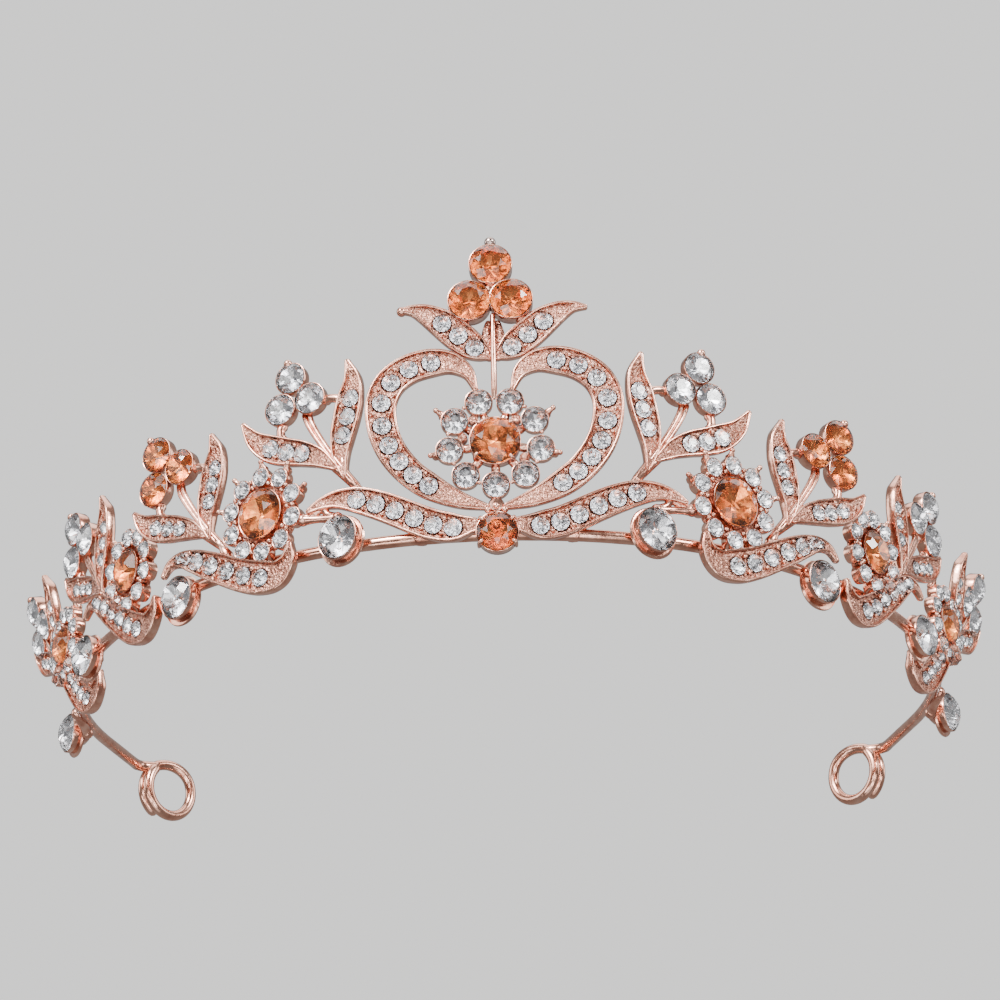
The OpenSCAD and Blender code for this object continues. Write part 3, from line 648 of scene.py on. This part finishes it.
def casting(name, *more):
    """Piece that stands in for the casting of this name."""
    return Piece(name + "_look", "casting", [RIM, FLOOR, *more], [name])


def clear_stones(name, glass=CLEAR):
    return Piece(name + "_look", "clear_stone", [glass, SILVER], [name])


def orange_stones(name):
    return Piece(name + "_look", "orange_stone", [ORANGE, COPPER], [name])


# ---- Headband ----

WIRE_UNEVEN = 0.012      # drawn wire: how much its thickness varies
WIRE_POINTS = 0.9        # points for each degree of the wire's arcs
SLEEVE = 1.03            # the joint of wire and loop is a little thicker
TURN_STEP = 6            # degrees from one point of a loop to the next
TURN_STEPS = 78          # steps in its winding
ASIDE = 1.5              # the second turn lies this far beside the first
ASIDE_STEPS = (42, 60)   # it moves there over these steps
SPRING = 0.25            # and its end stands off by a little more


def make_wire():
    piece = Piece("band_wire_look", "wire", [WIRE], ["band_wire"])
    half = []
    for i, (_, a) in enumerate(BAND_ARCS):
        h = math.degrees(band_start(i)[2])
        n = int(a * WIRE_POINTS)
        half += [wire_point(i, h + a * k / n) for k in range(1, n + 1)]
    x, y, h = band_start(len(BAND_ARCS))
    half += [np.array([x + s * math.cos(h), y + s * math.sin(h), 0.0]) for s in (4, 8, 12, BAND_END)]
    path = [p * (-1, 1, 1) for p in reversed(half)] + [wire_point(0, 0.0)] + half
    thick = [WIRE_R * (1 + WIRE_UNEVEN * grain(i, 1, 2)) for i in range(len(path))]
    tube(piece, path, thick, STAND, seg=28)
    piece.make()


def make_end_loop(left):
    name = "end_loop_" + side_name(left)
    piece = Piece(name + "_look", "wire", [WIRE], [name])
    x, y, h = band_start(len(BAND_ARCS))
    ahead = np.array([math.cos(h), math.sin(h), 0.0])
    tip = np.array([x, y, 0.0]) + BAND_END * ahead
    middle = tip + np.array(LOOP_DROP)
    t = math.radians(LOOP_TURN)
    across = np.array([math.cos(t), -math.sin(t), 0.0])
    axis = np.array([-math.sin(t), -math.cos(t), 0.0])

    def loop_point(angle, out):
        a = math.radians(angle)
        return middle + LOOP_R * (math.cos(a) * across + np.array([0, 0, math.sin(a)])) + out * axis

    entry = loop_point(LOOP_ENTRY, 0)
    pull = tip + ahead * 1.1 + (entry - tip) * 0.35
    bend = [tip - ahead * 1.5, tip - ahead * 0.3]
    for s in (0.2, 0.4, 0.6, 0.8):
        bend.append((1 - s) ** 2 * tip + 2 * s * (1 - s) * pull + s * s * entry)
    turns = []
    for k in range(TURN_STEPS + 1):
        out = -ASIDE * ease(*ASIDE_STEPS, k) - SPRING * ease(ASIDE_STEPS[1], TURN_STEPS, k)
        turns.append(loop_point(LOOP_ENTRY - TURN_STEP * k, out))
    thick = [WIRE_R * SLEEVE] * len(bend) + [WIRE_R] * len(turns)
    tube(piece, bend + turns, thick, sided(left), seg=32)
    piece.make()


# ---- Centre ----

STONE_SHARP = 5      # edges sharper than this stay sharp on a stone
HEART_SEATS = seats(HEART_LINE, 3, 11)
KNOB_R = 0.92        # knob on top of the crest
BAR_Z = -0.75        # height of the bars between a hub and its petals
BAR_R = 0.72


def claw(piece, centre, r, angle, reach, matrix):
    """Pointed claw that stands out from a petal's cup and ends in a bead."""
    c = np.array(centre)
    rows = [(r + 0.15, -0.75), (r + 0.35, -0.35), (r + reach * 0.6, -0.05), (r + reach, 0.05)]
    tube(piece, [(*(c + polar(d, angle)), z) for d, z in rows], [0.75, 0.62, 0.46, 0.32],
         matrix, RIM_LOOK, 10)
    ball(piece, (*(c + polar(r + reach, angle)), 0.12), 0.44, matrix, RIM_LOOK, 1.0, 14)


def make_heart():
    m = STAND @ at(CENTRE)
    piece, stones = casting("heart_frame"), clear_stones("heart_stones")
    for k, mirror in enumerate((np.eye(4), MIRROR)):
        channel(piece, HEART_LINE, 240, m @ mirror, (0.13, 0.83), HEART_SEATS)
        beads(piece, HEART_SEATS, m @ mirror)
        for i, p in enumerate(HEART_SEATS):
            stone(stones, p, PAVE_R, 0.0, m @ mirror, 11 * i + 20 * k)
    pad = [(0, -PLATE_T), (1.0, -PLATE_T), (1.25, -1.2), (1.25, 0.2), (1.0, 0.5), (0, 0.6)]
    lathe(piece, pad, (0, 3.7), m)
    for p in ((-1.3, 2.9), (1.3, 2.9), (0.0, 3.5)):
        ball(piece, (*p, 0.35), 0.55, m)
    piece.make()
    stones.make(STONE_SHARP)


def make_centre_flower():
    m = STAND @ at(CENTRE)
    piece, hub = casting("centre_flower_setting"), orange_stones("centre_flower_stone")
    petals = clear_stones("centre_flower_petals", FROSTED)
    centre, level, hub_level = np.array(HEART_CENTRE), cup_level(HEART_PETAL_R), cup_level(HUB_R)
    step = 360 // HEART_PETALS
    angles = [HEART_PETAL_FROM + step * i for i in range(HEART_PETALS)]
    cup(piece, HEART_CENTRE, HUB_R, hub_level, m, 48)
    for angle in angles:
        a, b = centre + polar(HUB_R - 0.2, angle), centre + polar(HUB_R + 0.8, angle)
        tube(piece, [(*a, BAR_Z), (*b, BAR_Z)], BAR_R, m, seg=12)
    filler = [(0, -1.4), (0.75, -1.4), (0.85, -1.1), (0.75, -0.1), (0.5, 0.05), (0, 0.1)]
    for a in (50, 130, 170, 330):
        lathe(piece, filler, centre + polar(5.1, a), m, FLOOR_LOOK, 16)
    for i, angle in enumerate(angles):
        c = centre + polar(HEART_RING, angle)
        cup(piece, c, HEART_PETAL_R, level, m)
        stone(petals, c, HEART_PETAL_R, level, m, step * i + 9 * grain(i, 2, 5))
        between = centre + polar(HEART_RING + 0.2, angle - step / 2)
        ball(piece, (*between, level + 0.3), 0.34, m)
    for a, way, reach in HEART_CLAWS:
        claw(piece, centre + polar(HEART_RING, a), HEART_PETAL_R, way, reach, m)
    for a in (50, 130, 220, 310):
        prong(piece, HEART_CENTRE, HUB_R, a, hub_level, m, 0.32)
    stone(hub, HEART_CENTRE, HUB_R, hub_level, m, 12)
    piece.make()
    petals.make(STONE_SHARP)
    hub.make(STONE_SHARP)


def make_crest_leaves():
    stones = clear_stones("crest_leaf_stones")
    for left in (False, True):
        m = STAND @ at(CENTRE) @ MIRROR if left else STAND @ at(CENTRE)
        leaf = casting("crest_leaf_" + side_name(left))
        gem_seats = seats(CREST_LINE, 1, 3)
        channel(leaf, CREST_LINE, 70, m, (0.08, 0.86), gem_seats)
        beads(leaf, gem_seats, m)
        ball(leaf, (14.2, 36.6, 0.0), 0.8 if left else 0.5, m, RIM_LOOK, 1.0, 16)
        for i, p in enumerate(gem_seats):
            stone(stones, p, PAVE_R, 0.0, m, 17 * i)
        leaf.make()
    stones.make(STONE_SHARP)


def make_crest_setting():
    """Three cups on a pad, with a knob on top and a stem down to the flower."""
    m = STAND @ at(CENTRE)
    setting, gems = casting("crest_setting", BEAD), orange_stones("crest_stones")
    for i, p in enumerate(CREST):
        cup(setting, p, CREST_R, CREST_LEVEL, m, 40)
        stone(gems, p, CREST_R, CREST_LEVEL, m, 8 + 31 * i)
    pad = [(0, -PLATE_T), (2.5, -PLATE_T), (2.6, -1.35), (0.9, -1.25), (0.7, 0.6), (0, 0.8)]
    lathe(setting, pad, (-0.3, 40.2), m)
    for side in (-1, 1):
        foot = [(side * 0.3, 29.3, -0.7), (side * 0.9, 31.2, -0.6), (side * 1.0, 33.0, -0.6),
                (side * 0.7, 34.4, -0.6)]
        tube(setting, foot, [1.1, 1.0, 0.75, 0.6], m, FLOOR_LOOK, 14)
        ball(setting, (side * 4.4, 34.9, -0.3), 0.9, m, RIM_LOOK, 0.9, 14)
    stem = [(0, 21.4, 0.7), (0.02, 26, 0.72), (0, 31, 0.7), (0, 35.4, 0.4)]
    tube(setting, stem, [0.45, 0.46, 0.45, 0.42], m, RIM_LOOK, 16)
    knob = (CREST[0][0], CREST[0][1] + CREST_R + 0.75, 0.6)
    ball(setting, knob, KNOB_R, m, BEAD_LOOK, 1.0, 18)
    setting.make()
    gems.make(STONE_SHARP)


def make_centre_drop():
    m = STAND @ at(CENTRE)
    piece, gem = casting("centre_drop_setting"), orange_stones("centre_drop_stone")
    level = cup_level(CENTRE_DROP_R)
    cup(piece, DROP_CENTRE, CENTRE_DROP_R, level, m, 40)
    for a in (40, 140, 215, 325):
        prong(piece, DROP_CENTRE, CENTRE_DROP_R, a, level, m)
    post = [(0, 0.6, 0.2), (0, 1.6, 0.0), (0, BAND_Y - 0.8, 0)]
    tube(piece, post, [0.9, 0.95, 1.1], STAND)
    stone(gem, DROP_CENTRE, CENTRE_DROP_R, level, m, 22)
    piece.make()
    gem.make(STONE_SHARP)


# ---- Front scrolls ----

def make_front_scroll(left, stones):
    m = sided(left) @ at(FRONT_AT)
    piece = casting("front_scroll_" + side_name(left))
    gem_seats = seats(FRONT_LINE, 1, 6)
    channel(piece, FRONT_LINE, 110, m, (0.06, 0.86), gem_seats)
    beads(piece, gem_seats, m)
    for i, p in enumerate(gem_seats):
        stone(stones, p, PAVE_R, 0.0, m, 13 * i + 7 * left)
    post = [world(FRONT_AT, 0, (9, 0, POST_Z)), wire_point(*FRONT_POST)]
    tube(piece, post, [1.0, 1.1], sided(left))
    make_web(piece, left)
    piece.make()


def make_web(piece, left):
    """Three sagging bars that join the scroll's tip, the first drop and the first flower."""
    tip = world(FRONT_AT, 0, (24.6, 6.6, -0.6))
    drop = world(DROP_AT[0], DROP_Z[0], (0.8, 3.6, -0.6))
    petal = world(FLOWER_AT[0], FLOWER_Z[0], (-7.4, -2.4, -0.8))
    hub = (tip + drop + petal) / 3 + np.array([0.3, 0, -0.6])
    thick = [0.95, 0.68, 0.58, 0.68, 0.95]
    for a, b in ((tip, drop), (drop, petal), (petal, tip)):
        sag = (a + b) / 2 + (hub - (a + b) / 2) * 0.25
        tube(piece, [a, (a + sag) / 2, sag, (sag + b) / 2, b], thick, sided(left), RIM_LOOK, 14)
    for p in (tip, drop, petal):
        ball(piece, p, 1.0, sided(left), RIM_LOOK, 1.0, 16)


# ---- Side flowers, scrolls, sprigs and drops ----

def make_flower(k, left, petals, hubs):
    m = sided(left) @ at(FLOWER_AT[k], FLOWER_Z[k])
    r, ring, level = FLOWER_STONE_R[k], RING_R[k], cup_level(PETAL_R) + PETAL_LIFT
    piece = casting("flower_%d_%s" % (k + 1, side_name(left)))
    cup(piece, (0, 0), r, cup_level(r), m, 44)
    plate = [(0, -PLATE_T), (ring - 0.2, -PLATE_T), (ring - 0.1, -1.3), (ring - 0.3, -0.8),
             (r + 0.1, -0.65), (r - 0.3, -0.75), (r * 0.4, -1.3), (0, -1.3)]
    lathe(piece, plate, (0, 0), m, FLOOR_LOOK, 40)
    step = 360 // PETAL_N
    for i in range(PETAL_N):
        a = PETAL_FROM + step * i
        c = polar(ring, a)
        cup(piece, c, PETAL_R, level, m, 22)
        stone(petals, c, PETAL_R, level, m, step * i + 14 * grain(i, k, 4), table=0.5, rise=0.46)
        ball(piece, (*polar(ring * 0.98, a + step / 2), level + 0.1), 0.40, m)
        ball(piece, (*polar(ring - 1.2, a + step / 2), level), 0.42, m)
    for a in CLAWS[k]:
        claw(piece, polar(ring, a), PETAL_R, a, CLAW_REACH, m)
    stone(hubs, (0, 0), r, cup_level(r), m, 10 + 23 * k)
    piece.make()


def side_scroll(k):
    """Centre line of a side scroll, in its own plane."""
    a = math.radians(SCROLL_ROLL[k])
    out = []
    for x, y, w in SCROLL_LINE:
        x = x * SCROLL_REACH[k] + SCROLL_SHIFT[k]
        out.append((x * math.cos(a) - y * math.sin(a), x * math.sin(a) + y * math.cos(a), w))
    return out


def make_scroll(k, left, stones):
    place = (FLOWER_AT[k][0], FLOWER_AT[k][1], FLOWER_AT[k][2] + SCROLL_TURN[k])
    z, pave, line = FLOWER_Z[k] - FLOWER_Z[0], SCROLL_PAVE[k], side_scroll(k)
    m = sided(left) @ at(place, z)
    piece = casting("scroll_%d_%s" % (k + 1, side_name(left)))
    gem_seats = seats(line, 3, SCROLL_LAST[k])
    channel(piece, line, 110, m, (0.06, 0.9), gem_seats, pave)
    beads(piece, gem_seats, m, BEAD_OUT * pave / PAVE_R)
    for i, p in enumerate(gem_seats):
        stone(stones, p, pave, 0.0, m, 15 * i + 5 * k)
    ball(piece, (line[-1][0], line[-1][1], 0.1), 0.55, m)
    start = world(place, z, (4 * SCROLL_REACH[k] + SCROLL_SHIFT[k], 0, POST_Z))
    tube(piece, [start, wire_point(*SCROLL_POSTS[k])], [1.0, 1.1], sided(left))
    piece.make()


def trefoil(k, i):
    """Centre of stone i of a sprig's trefoil."""
    return np.array(TREFOIL_AT[k]) + polar(TREFOIL_R * TREFOIL_SCALE[k], TREFOIL_TURN[k] + 120 * i)


def sprig_lines(k):
    """Centre lines of a sprig's upright leaf, outer leaf and stem."""
    up = [(x + LEAF_LEAN[k] * y / LEAF_HEIGHT, y * SPRIG_RISE[k], w) for x, y, w in LEAF_UP]
    out = [(x * LEAF_REACH[k], y * LEAF_RISE[k], w) for x, y, w in LEAF_OUT]
    stem_rise = TREFOIL_AT[k][1] / TREFOIL_AT[0][1]
    return up, out, [(x, y * stem_rise, w) for x, y, w in STEM_LINE]


def make_leaf(piece, line, k, m, gems):
    leaf_r = PAVE_R * LEAF_SCALE[k]
    gem_seats = seats(line, 2, 4)
    channel(piece, line, 80, m, (0.10, 0.88), gem_seats, leaf_r)
    beads(piece, gem_seats, m, 1.2 * LEAF_SCALE[k], 0.33)
    for i, p in enumerate(gem_seats):
        stone(gems, p, leaf_r, 0.0, m, 19 * i + 3 * k)
    ball(piece, (line[-1][0], line[-1][1], 0.0), 0.5, m)


STEM_POINTS = 13
STEM_SPLIT = 0.42    # how far the stem's two wires lie from its middle line


def make_stem(piece, stem, k, m):
    """Two wires side by side that part towards the trefoil and sink at both ends."""
    last = STEM_POINTS - 1
    thick = [0.40 + 0.06 * abs(i - last // 2) / (last // 2) for i in range(STEM_POINTS)]
    for off in (-STEM_SPLIT, STEM_SPLIT):
        path = []
        for i in range(STEM_POINTS):
            u = STEM_FROM[k] + (1 - STEM_FROM[k]) * i / last
            q, d = along(stem, u), heading(stem, u)
            w = off * (0.50 + 0.85 * max(u - 0.35, 0))
            sink = 0.7 * max(0.25 - u, 0) / 0.25 + 0.9 * ease(0.84, 1.0, u)
            path.append((q[0] - d[1] * w, q[1] + d[0] * w, 0.05 - sink))
        tube(piece, path, thick, m, RIM_LOOK, 14)


def make_roots(piece, lines, stem, k, m):
    """Bars from the stem to the foot of each leaf, and on the rear sprigs down to the scroll."""
    start = along(stem, 0.10 + STEM_FROM[k] * 0.8)[:2]
    for line in lines:
        a, b = along(line, 0.04)[:2], along(line, 0.14)[:2]
        tube(piece, [(*start, -0.55), (*a, -0.5), (*b, -0.45)], [0.75, 0.7, 0.6], m, RIM_LOOK, 12)
    if k > 0:
        root = along(stem, STEM_FROM[k] + 0.08)[:2]
        middle = root * 0.5 - (0.4, 0.7)
        tube(piece, [(-0.8, -1.4, -0.75), (*middle, -0.6), (*root, -0.55)], [0.95, 0.8, 0.6],
             m, RIM_LOOK, 12)


def make_tie(piece, line, share, c, r, bend, m):
    """Slightly bowed bar from a leaf's edge to the cup at c."""
    a = along(line, share)
    way = (c - a[:2]) / np.linalg.norm(c - a[:2])
    a, c = a[:2] + way * (a[2] / 2 - 0.2), c - way * (r + 0.15)
    bow = np.array([-way[1], way[0]]) * bend
    path = [(*a, -0.6), (*(a * 0.7 + c * 0.3 + bow), -0.35), (*(a * 0.3 + c * 0.7 + bow), -0.35),
            (*c, -0.6)]
    tube(piece, path, [0.9, 0.72, 0.72, 0.85], m, RIM_LOOK, 12)


def make_sprig(k, left, leaf_gems, trefoil_gems):
    m = sided(left) @ at(SPRIG_AT[k], SPRIG_Z[k], SPRIG_TILT[k])
    up, out, stem = sprig_lines(k)
    piece = casting("sprig_%d_%s" % (k + 1, side_name(left)))
    for line in (up, out):
        make_leaf(piece, line, k, m, leaf_gems)
    make_stem(piece, stem, k, m)
    make_roots(piece, (up, out), stem, k, m)
    r = TREFOIL_STONE_R * TREFOIL_SCALE[k]
    level = cup_level(r)
    for i in range(3):
        c = trefoil(k, i)
        cup(piece, c, r, level, m, 34)
        stone(trefoil_gems, c, r, level, m, 9 + 27 * i)
    knob = trefoil(k, 0) + polar(r + 0.15, TREFOIL_TURN[k])
    ball(piece, (*knob, level), 0.7, m, RIM_LOOK, 1.0, 16)
    make_tie(piece, up, 0.66, trefoil(k, 1), r, 0.25, m)
    make_tie(piece, out, 0.55, trefoil(k, 2), r, -0.25, m)
    piece.make()


def make_drop(k, left, gems):
    m, level = sided(left) @ at(DROP_AT[k], DROP_Z[k]), cup_level(DROP_R)
    piece = casting("drop_setting_%d_%s" % (k + 1, side_name(left)))
    cup(piece, (0, 0), DROP_R, level, m, 40)
    disc = [(0, -PLATE_T), (DROP_R + 0.1, -PLATE_T), (DROP_R + 0.55, -1.35), (DROP_R + 0.75, -1.0),
            (DROP_R + 0.6, -0.7), (DROP_R + 0.2, -0.62), (DROP_R * 0.3, -1.35), (0, -1.35)]
    lathe(piece, disc, (0.15, -0.2), m, RIM_LOOK, 40)
    if k < len(DROP_POSTS):
        post = [world(DROP_AT[k], 0, (0, DROP_Z[k], POST_Z)), wire_point(*DROP_POSTS[k])]
        tube(piece, post, [1.1, 1.2], sided(left))
    else:
        make_drop_arm(piece, k, left)
    stone(gems, (0, 0), DROP_R, level, m, 5 + 19 * k)
    piece.make()


def make_drop_arm(piece, k, left):
    """Arm of the last drop, which leaves the wire and runs round under it."""
    root = wire_point(2, 90)
    start, under = root + np.array([1.0, 0, 0.2]), root + np.array([0.1, 5, -1.9])
    end = world(DROP_AT[k], DROP_Z[k], (0, -1, POST_Z + 0.1))
    path = [start, start * 0.5 + under * 0.5 + (0.1, 0, 0), under,
            (under + end) / 2 + (0, 0.2, -0.2), end]
    tube(piece, path, [1.1, 0.85, 1.1, 0.9, 1.0], sided(left))
    for p, r in ((start, 1.25), (under, 1.2)):
        ball(piece, p, r, sided(left), RIM_LOOK, 1.0, 18)


def make_sides():
    front, drops = clear_stones("front_scroll_stones"), clear_stones("drop_stones")
    hubs, warm = orange_stones("flower_stones"), orange_stones("trefoil_stones_orange")
    for left in (False, True):
        petals, scrolls, leaves, clear = (
            clear_stones("%s_%s" % (name, side_name(left)))
            for name in ("petal_stones", "scroll_stones", "leaf_stones", "trefoil_stones_clear"))
        make_front_scroll(left, front)
        for k in range(3):
            make_flower(k, left, petals, hubs)
            make_scroll(k, left, scrolls)
        for k in range(4):
            make_sprig(k, left, leaves, warm if k == 1 else clear)
            make_drop(k, left, drops)
        for gems in (petals, scrolls, leaves, clear):
            gems.make(STONE_SHARP)
    for gems in (front, hubs, drops, warm):
        gems.make(STONE_SHARP)


make_wire()
make_end_loop(False)
make_end_loop(True)
make_heart()
make_centre_flower()
make_crest_leaves()
make_crest_setting()
make_centre_drop()
make_sides()


# ---- Studio ----

FLOOR_SIZE = 3.0
FLOOR_TONES = [(0.3, (0.72, 0.71, 0.70)), (0.7, (0.76, 0.755, 0.75))]


def make_floor():
    """Pale floor that is seen from above only, so that the low camera looks past it."""
    half = FLOOR_SIZE / 2
    corners = [(-half, -half, 0), (half, -half, 0), (half, half, 0), (-half, half, 0)]
    mesh = bpy.data.meshes.new("floor")
    mesh.from_pydata(corners, [], [(0, 1, 2, 3)])
    look, nodes, links, shader = new_look("pale_floor")
    tones = ramp(nodes, links, noise(nodes, links, 30, 3), FLOOR_TONES)
    links.new(tones, shader.inputs["Base Color"])
    shader.inputs["Roughness"].default_value = 0.75
    clear = nodes.new("ShaderNodeBsdfTransparent")
    side = nodes.new("ShaderNodeNewGeometry")
    mix = nodes.new("ShaderNodeMixShader")
    links.new(side.outputs["Backfacing"], mix.inputs["Fac"])
    links.new(shader.outputs["BSDF"], mix.inputs[1])
    links.new(clear.outputs["BSDF"], mix.inputs[2])
    links.new(mix.outputs["Shader"], nodes["Material Output"].inputs["Surface"])
    mesh.materials.append(look)
    floor = bpy.data.objects.new("floor", mesh)
    floor.visible_glossy = floor.visible_transmission = False
    bpy.context.scene.collection.objects.link(floor)


# Soft boxes as [direction, half angle in degrees, strength]: the large ones light the metal and
# the stones' upper facets, and the small ones in front are what sparkles in the stones.
SOFTBOXES = [((-0.50, -0.66, 0.56), 21, 8.5), ((0.68, -0.58, 0.45), 14, 5.5),
             ((0.05, 0.10, 1.0), 30, 2.6), ((0.02, -0.75, -0.66), 30, 0.9),
             ((-0.95, 0.05, 0.30), 16, 3.0), ((0.95, 0.15, 0.28), 15, 3.0),
             ((-0.70, -0.60, -0.40), 7, 6.0), ((-0.30, -0.93, -0.20), 5, 11.0),
             ((0.33, -0.90, -0.30), 5, 11.0), ((0.04, -0.98, -0.16), 5, 10.0),
             ((-0.12, -0.83, -0.56), 6, 9.0), ((0.20, -0.97, 0.14), 6, 9.0),
             ((-0.22, -0.94, 0.25), 5, 8.0), ((0.62, -0.72, -0.32), 7, 6.0),
             ((0.28, -0.72, -0.64), 7, 6.0), ((-0.45, -0.70, -0.58), 6, 6.0)]
ROOM = (0.28, 0.40)      # brightness of the room in front of the tiara and behind it
ROOM_FROM, ROOM_TO = -0.45, 0.6      # where the one passes into the other
BACKDROP = 1.15
SOFT_EDGE = 0.15         # width of a soft box's edge over its half angle


def make_world():
    """Studio of soft boxes in a dim room; the camera itself sees a plain pale backdrop."""
    world_look = bpy.data.worlds.new("studio")
    world_look.use_nodes = True
    bpy.context.scene.world = world_look
    nodes, links = world_look.node_tree.nodes, world_look.node_tree.links
    studio = nodes["Background"]
    coord = nodes.new("ShaderNodeTexCoord")
    parts = nodes.new("ShaderNodeSeparateXYZ")
    links.new(coord.outputs["Generated"], parts.inputs["Vector"])
    total = span(nodes, links, parts.outputs["Y"], ROOM[0], ROOM[1], ROOM_FROM, ROOM_TO)
    for direction, half, strength in SOFTBOXES:
        length = math.sqrt(sum(c * c for c in direction))
        dot = nodes.new("ShaderNodeVectorMath")
        dot.operation = "DOT_PRODUCT"
        dot.inputs[1].default_value = [c / length for c in direction]
        links.new(coord.outputs["Generated"], dot.inputs[0])
        glow = span(nodes, links, dot.outputs["Value"], 0.0, strength,
                    math.cos(math.radians(half * (1 + SOFT_EDGE))),
                    math.cos(math.radians(half * (1 - SOFT_EDGE))))
        add = nodes.new("ShaderNodeMath")
        links.new(total, add.inputs[0])
        links.new(glow, add.inputs[1])
        total = add.outputs["Value"]
    links.new(total, studio.inputs["Strength"])
    studio.inputs["Color"].default_value = (1.0, 0.99, 0.98, 1)
    pale = nodes.new("ShaderNodeBackground")
    pale.inputs["Color"].default_value = (1.0, 0.995, 0.985, 1)
    pale.inputs["Strength"].default_value = BACKDROP
    path = nodes.new("ShaderNodeLightPath")
    mix = nodes.new("ShaderNodeMixShader")
    links.new(path.outputs["Is Camera Ray"], mix.inputs["Fac"])
    links.new(studio.outputs["Background"], mix.inputs[1])
    links.new(pale.outputs["Background"], mix.inputs[2])
    links.new(mix.outputs["Shader"], nodes["World Output"].inputs["Surface"])


LIGHT_AIM = (0, -0.02, 0.03)


def make_light(name, where, size, watts):
    """Round area light that points at the front of the tiara."""
    data = bpy.data.lights.new(name, "AREA")
    data.shape, data.size, data.energy = "DISK", size, watts
    lamp = bpy.data.objects.new(name, data)
    lamp.location = where
    aim = np.array(LIGHT_AIM) - np.array(where)
    lamp.rotation_mode = "QUATERNION"
    lamp.rotation_quaternion = Vector(aim).to_track_quat("-Z", "Y")
    bpy.context.scene.collection.objects.link(lamp)


CAMERA_TURN = (22.0, -0.78, -1.135)      # elevation, azimuth and roll
CAMERA_DISTANCE = 421.4
CAMERA_TARGET = (0.57, 0.0, 4.6)
SENSOR, LENS = 36.0, 100.1


def make_camera():
    """Low camera in front of the tiara, worked out in the band's frame."""
    elevation, azimuth, roll = (math.radians(v) for v in CAMERA_TURN)
    flat = math.cos(elevation)
    ahead = np.array([math.sin(azimuth) * flat, math.cos(azimuth) * flat, math.sin(elevation)])
    right = np.array([math.cos(azimuth), -math.sin(azimuth), 0.0])
    up = np.cross(right, ahead)
    x = math.cos(roll) * right + math.sin(roll) * up
    y = -math.sin(roll) * right + math.cos(roll) * up
    m = np.eye(4)
    m[:3, 0], m[:3, 1], m[:3, 2] = x, y, -ahead
    m[:3, 3] = np.array(CAMERA_TARGET) - CAMERA_DISTANCE * ahead
    m = STAND @ m
    m[:3, 3] *= MM
    data = bpy.data.cameras.new("camera")
    data.sensor_width, data.lens = SENSOR, LENS
    data.clip_start, data.clip_end = 0.01, 20.0
    cam = bpy.data.objects.new("camera", data)
    cam.matrix_world = Matrix(m.tolist())
    bpy.context.scene.collection.objects.link(cam)
    bpy.context.scene.camera = cam


make_floor()
make_world()
make_light("key", (-0.35, -0.55, 0.55), 0.22, 6.0)
make_light("fill", (0.50, -0.45, 0.35), 0.18, 3.0)
make_camera()
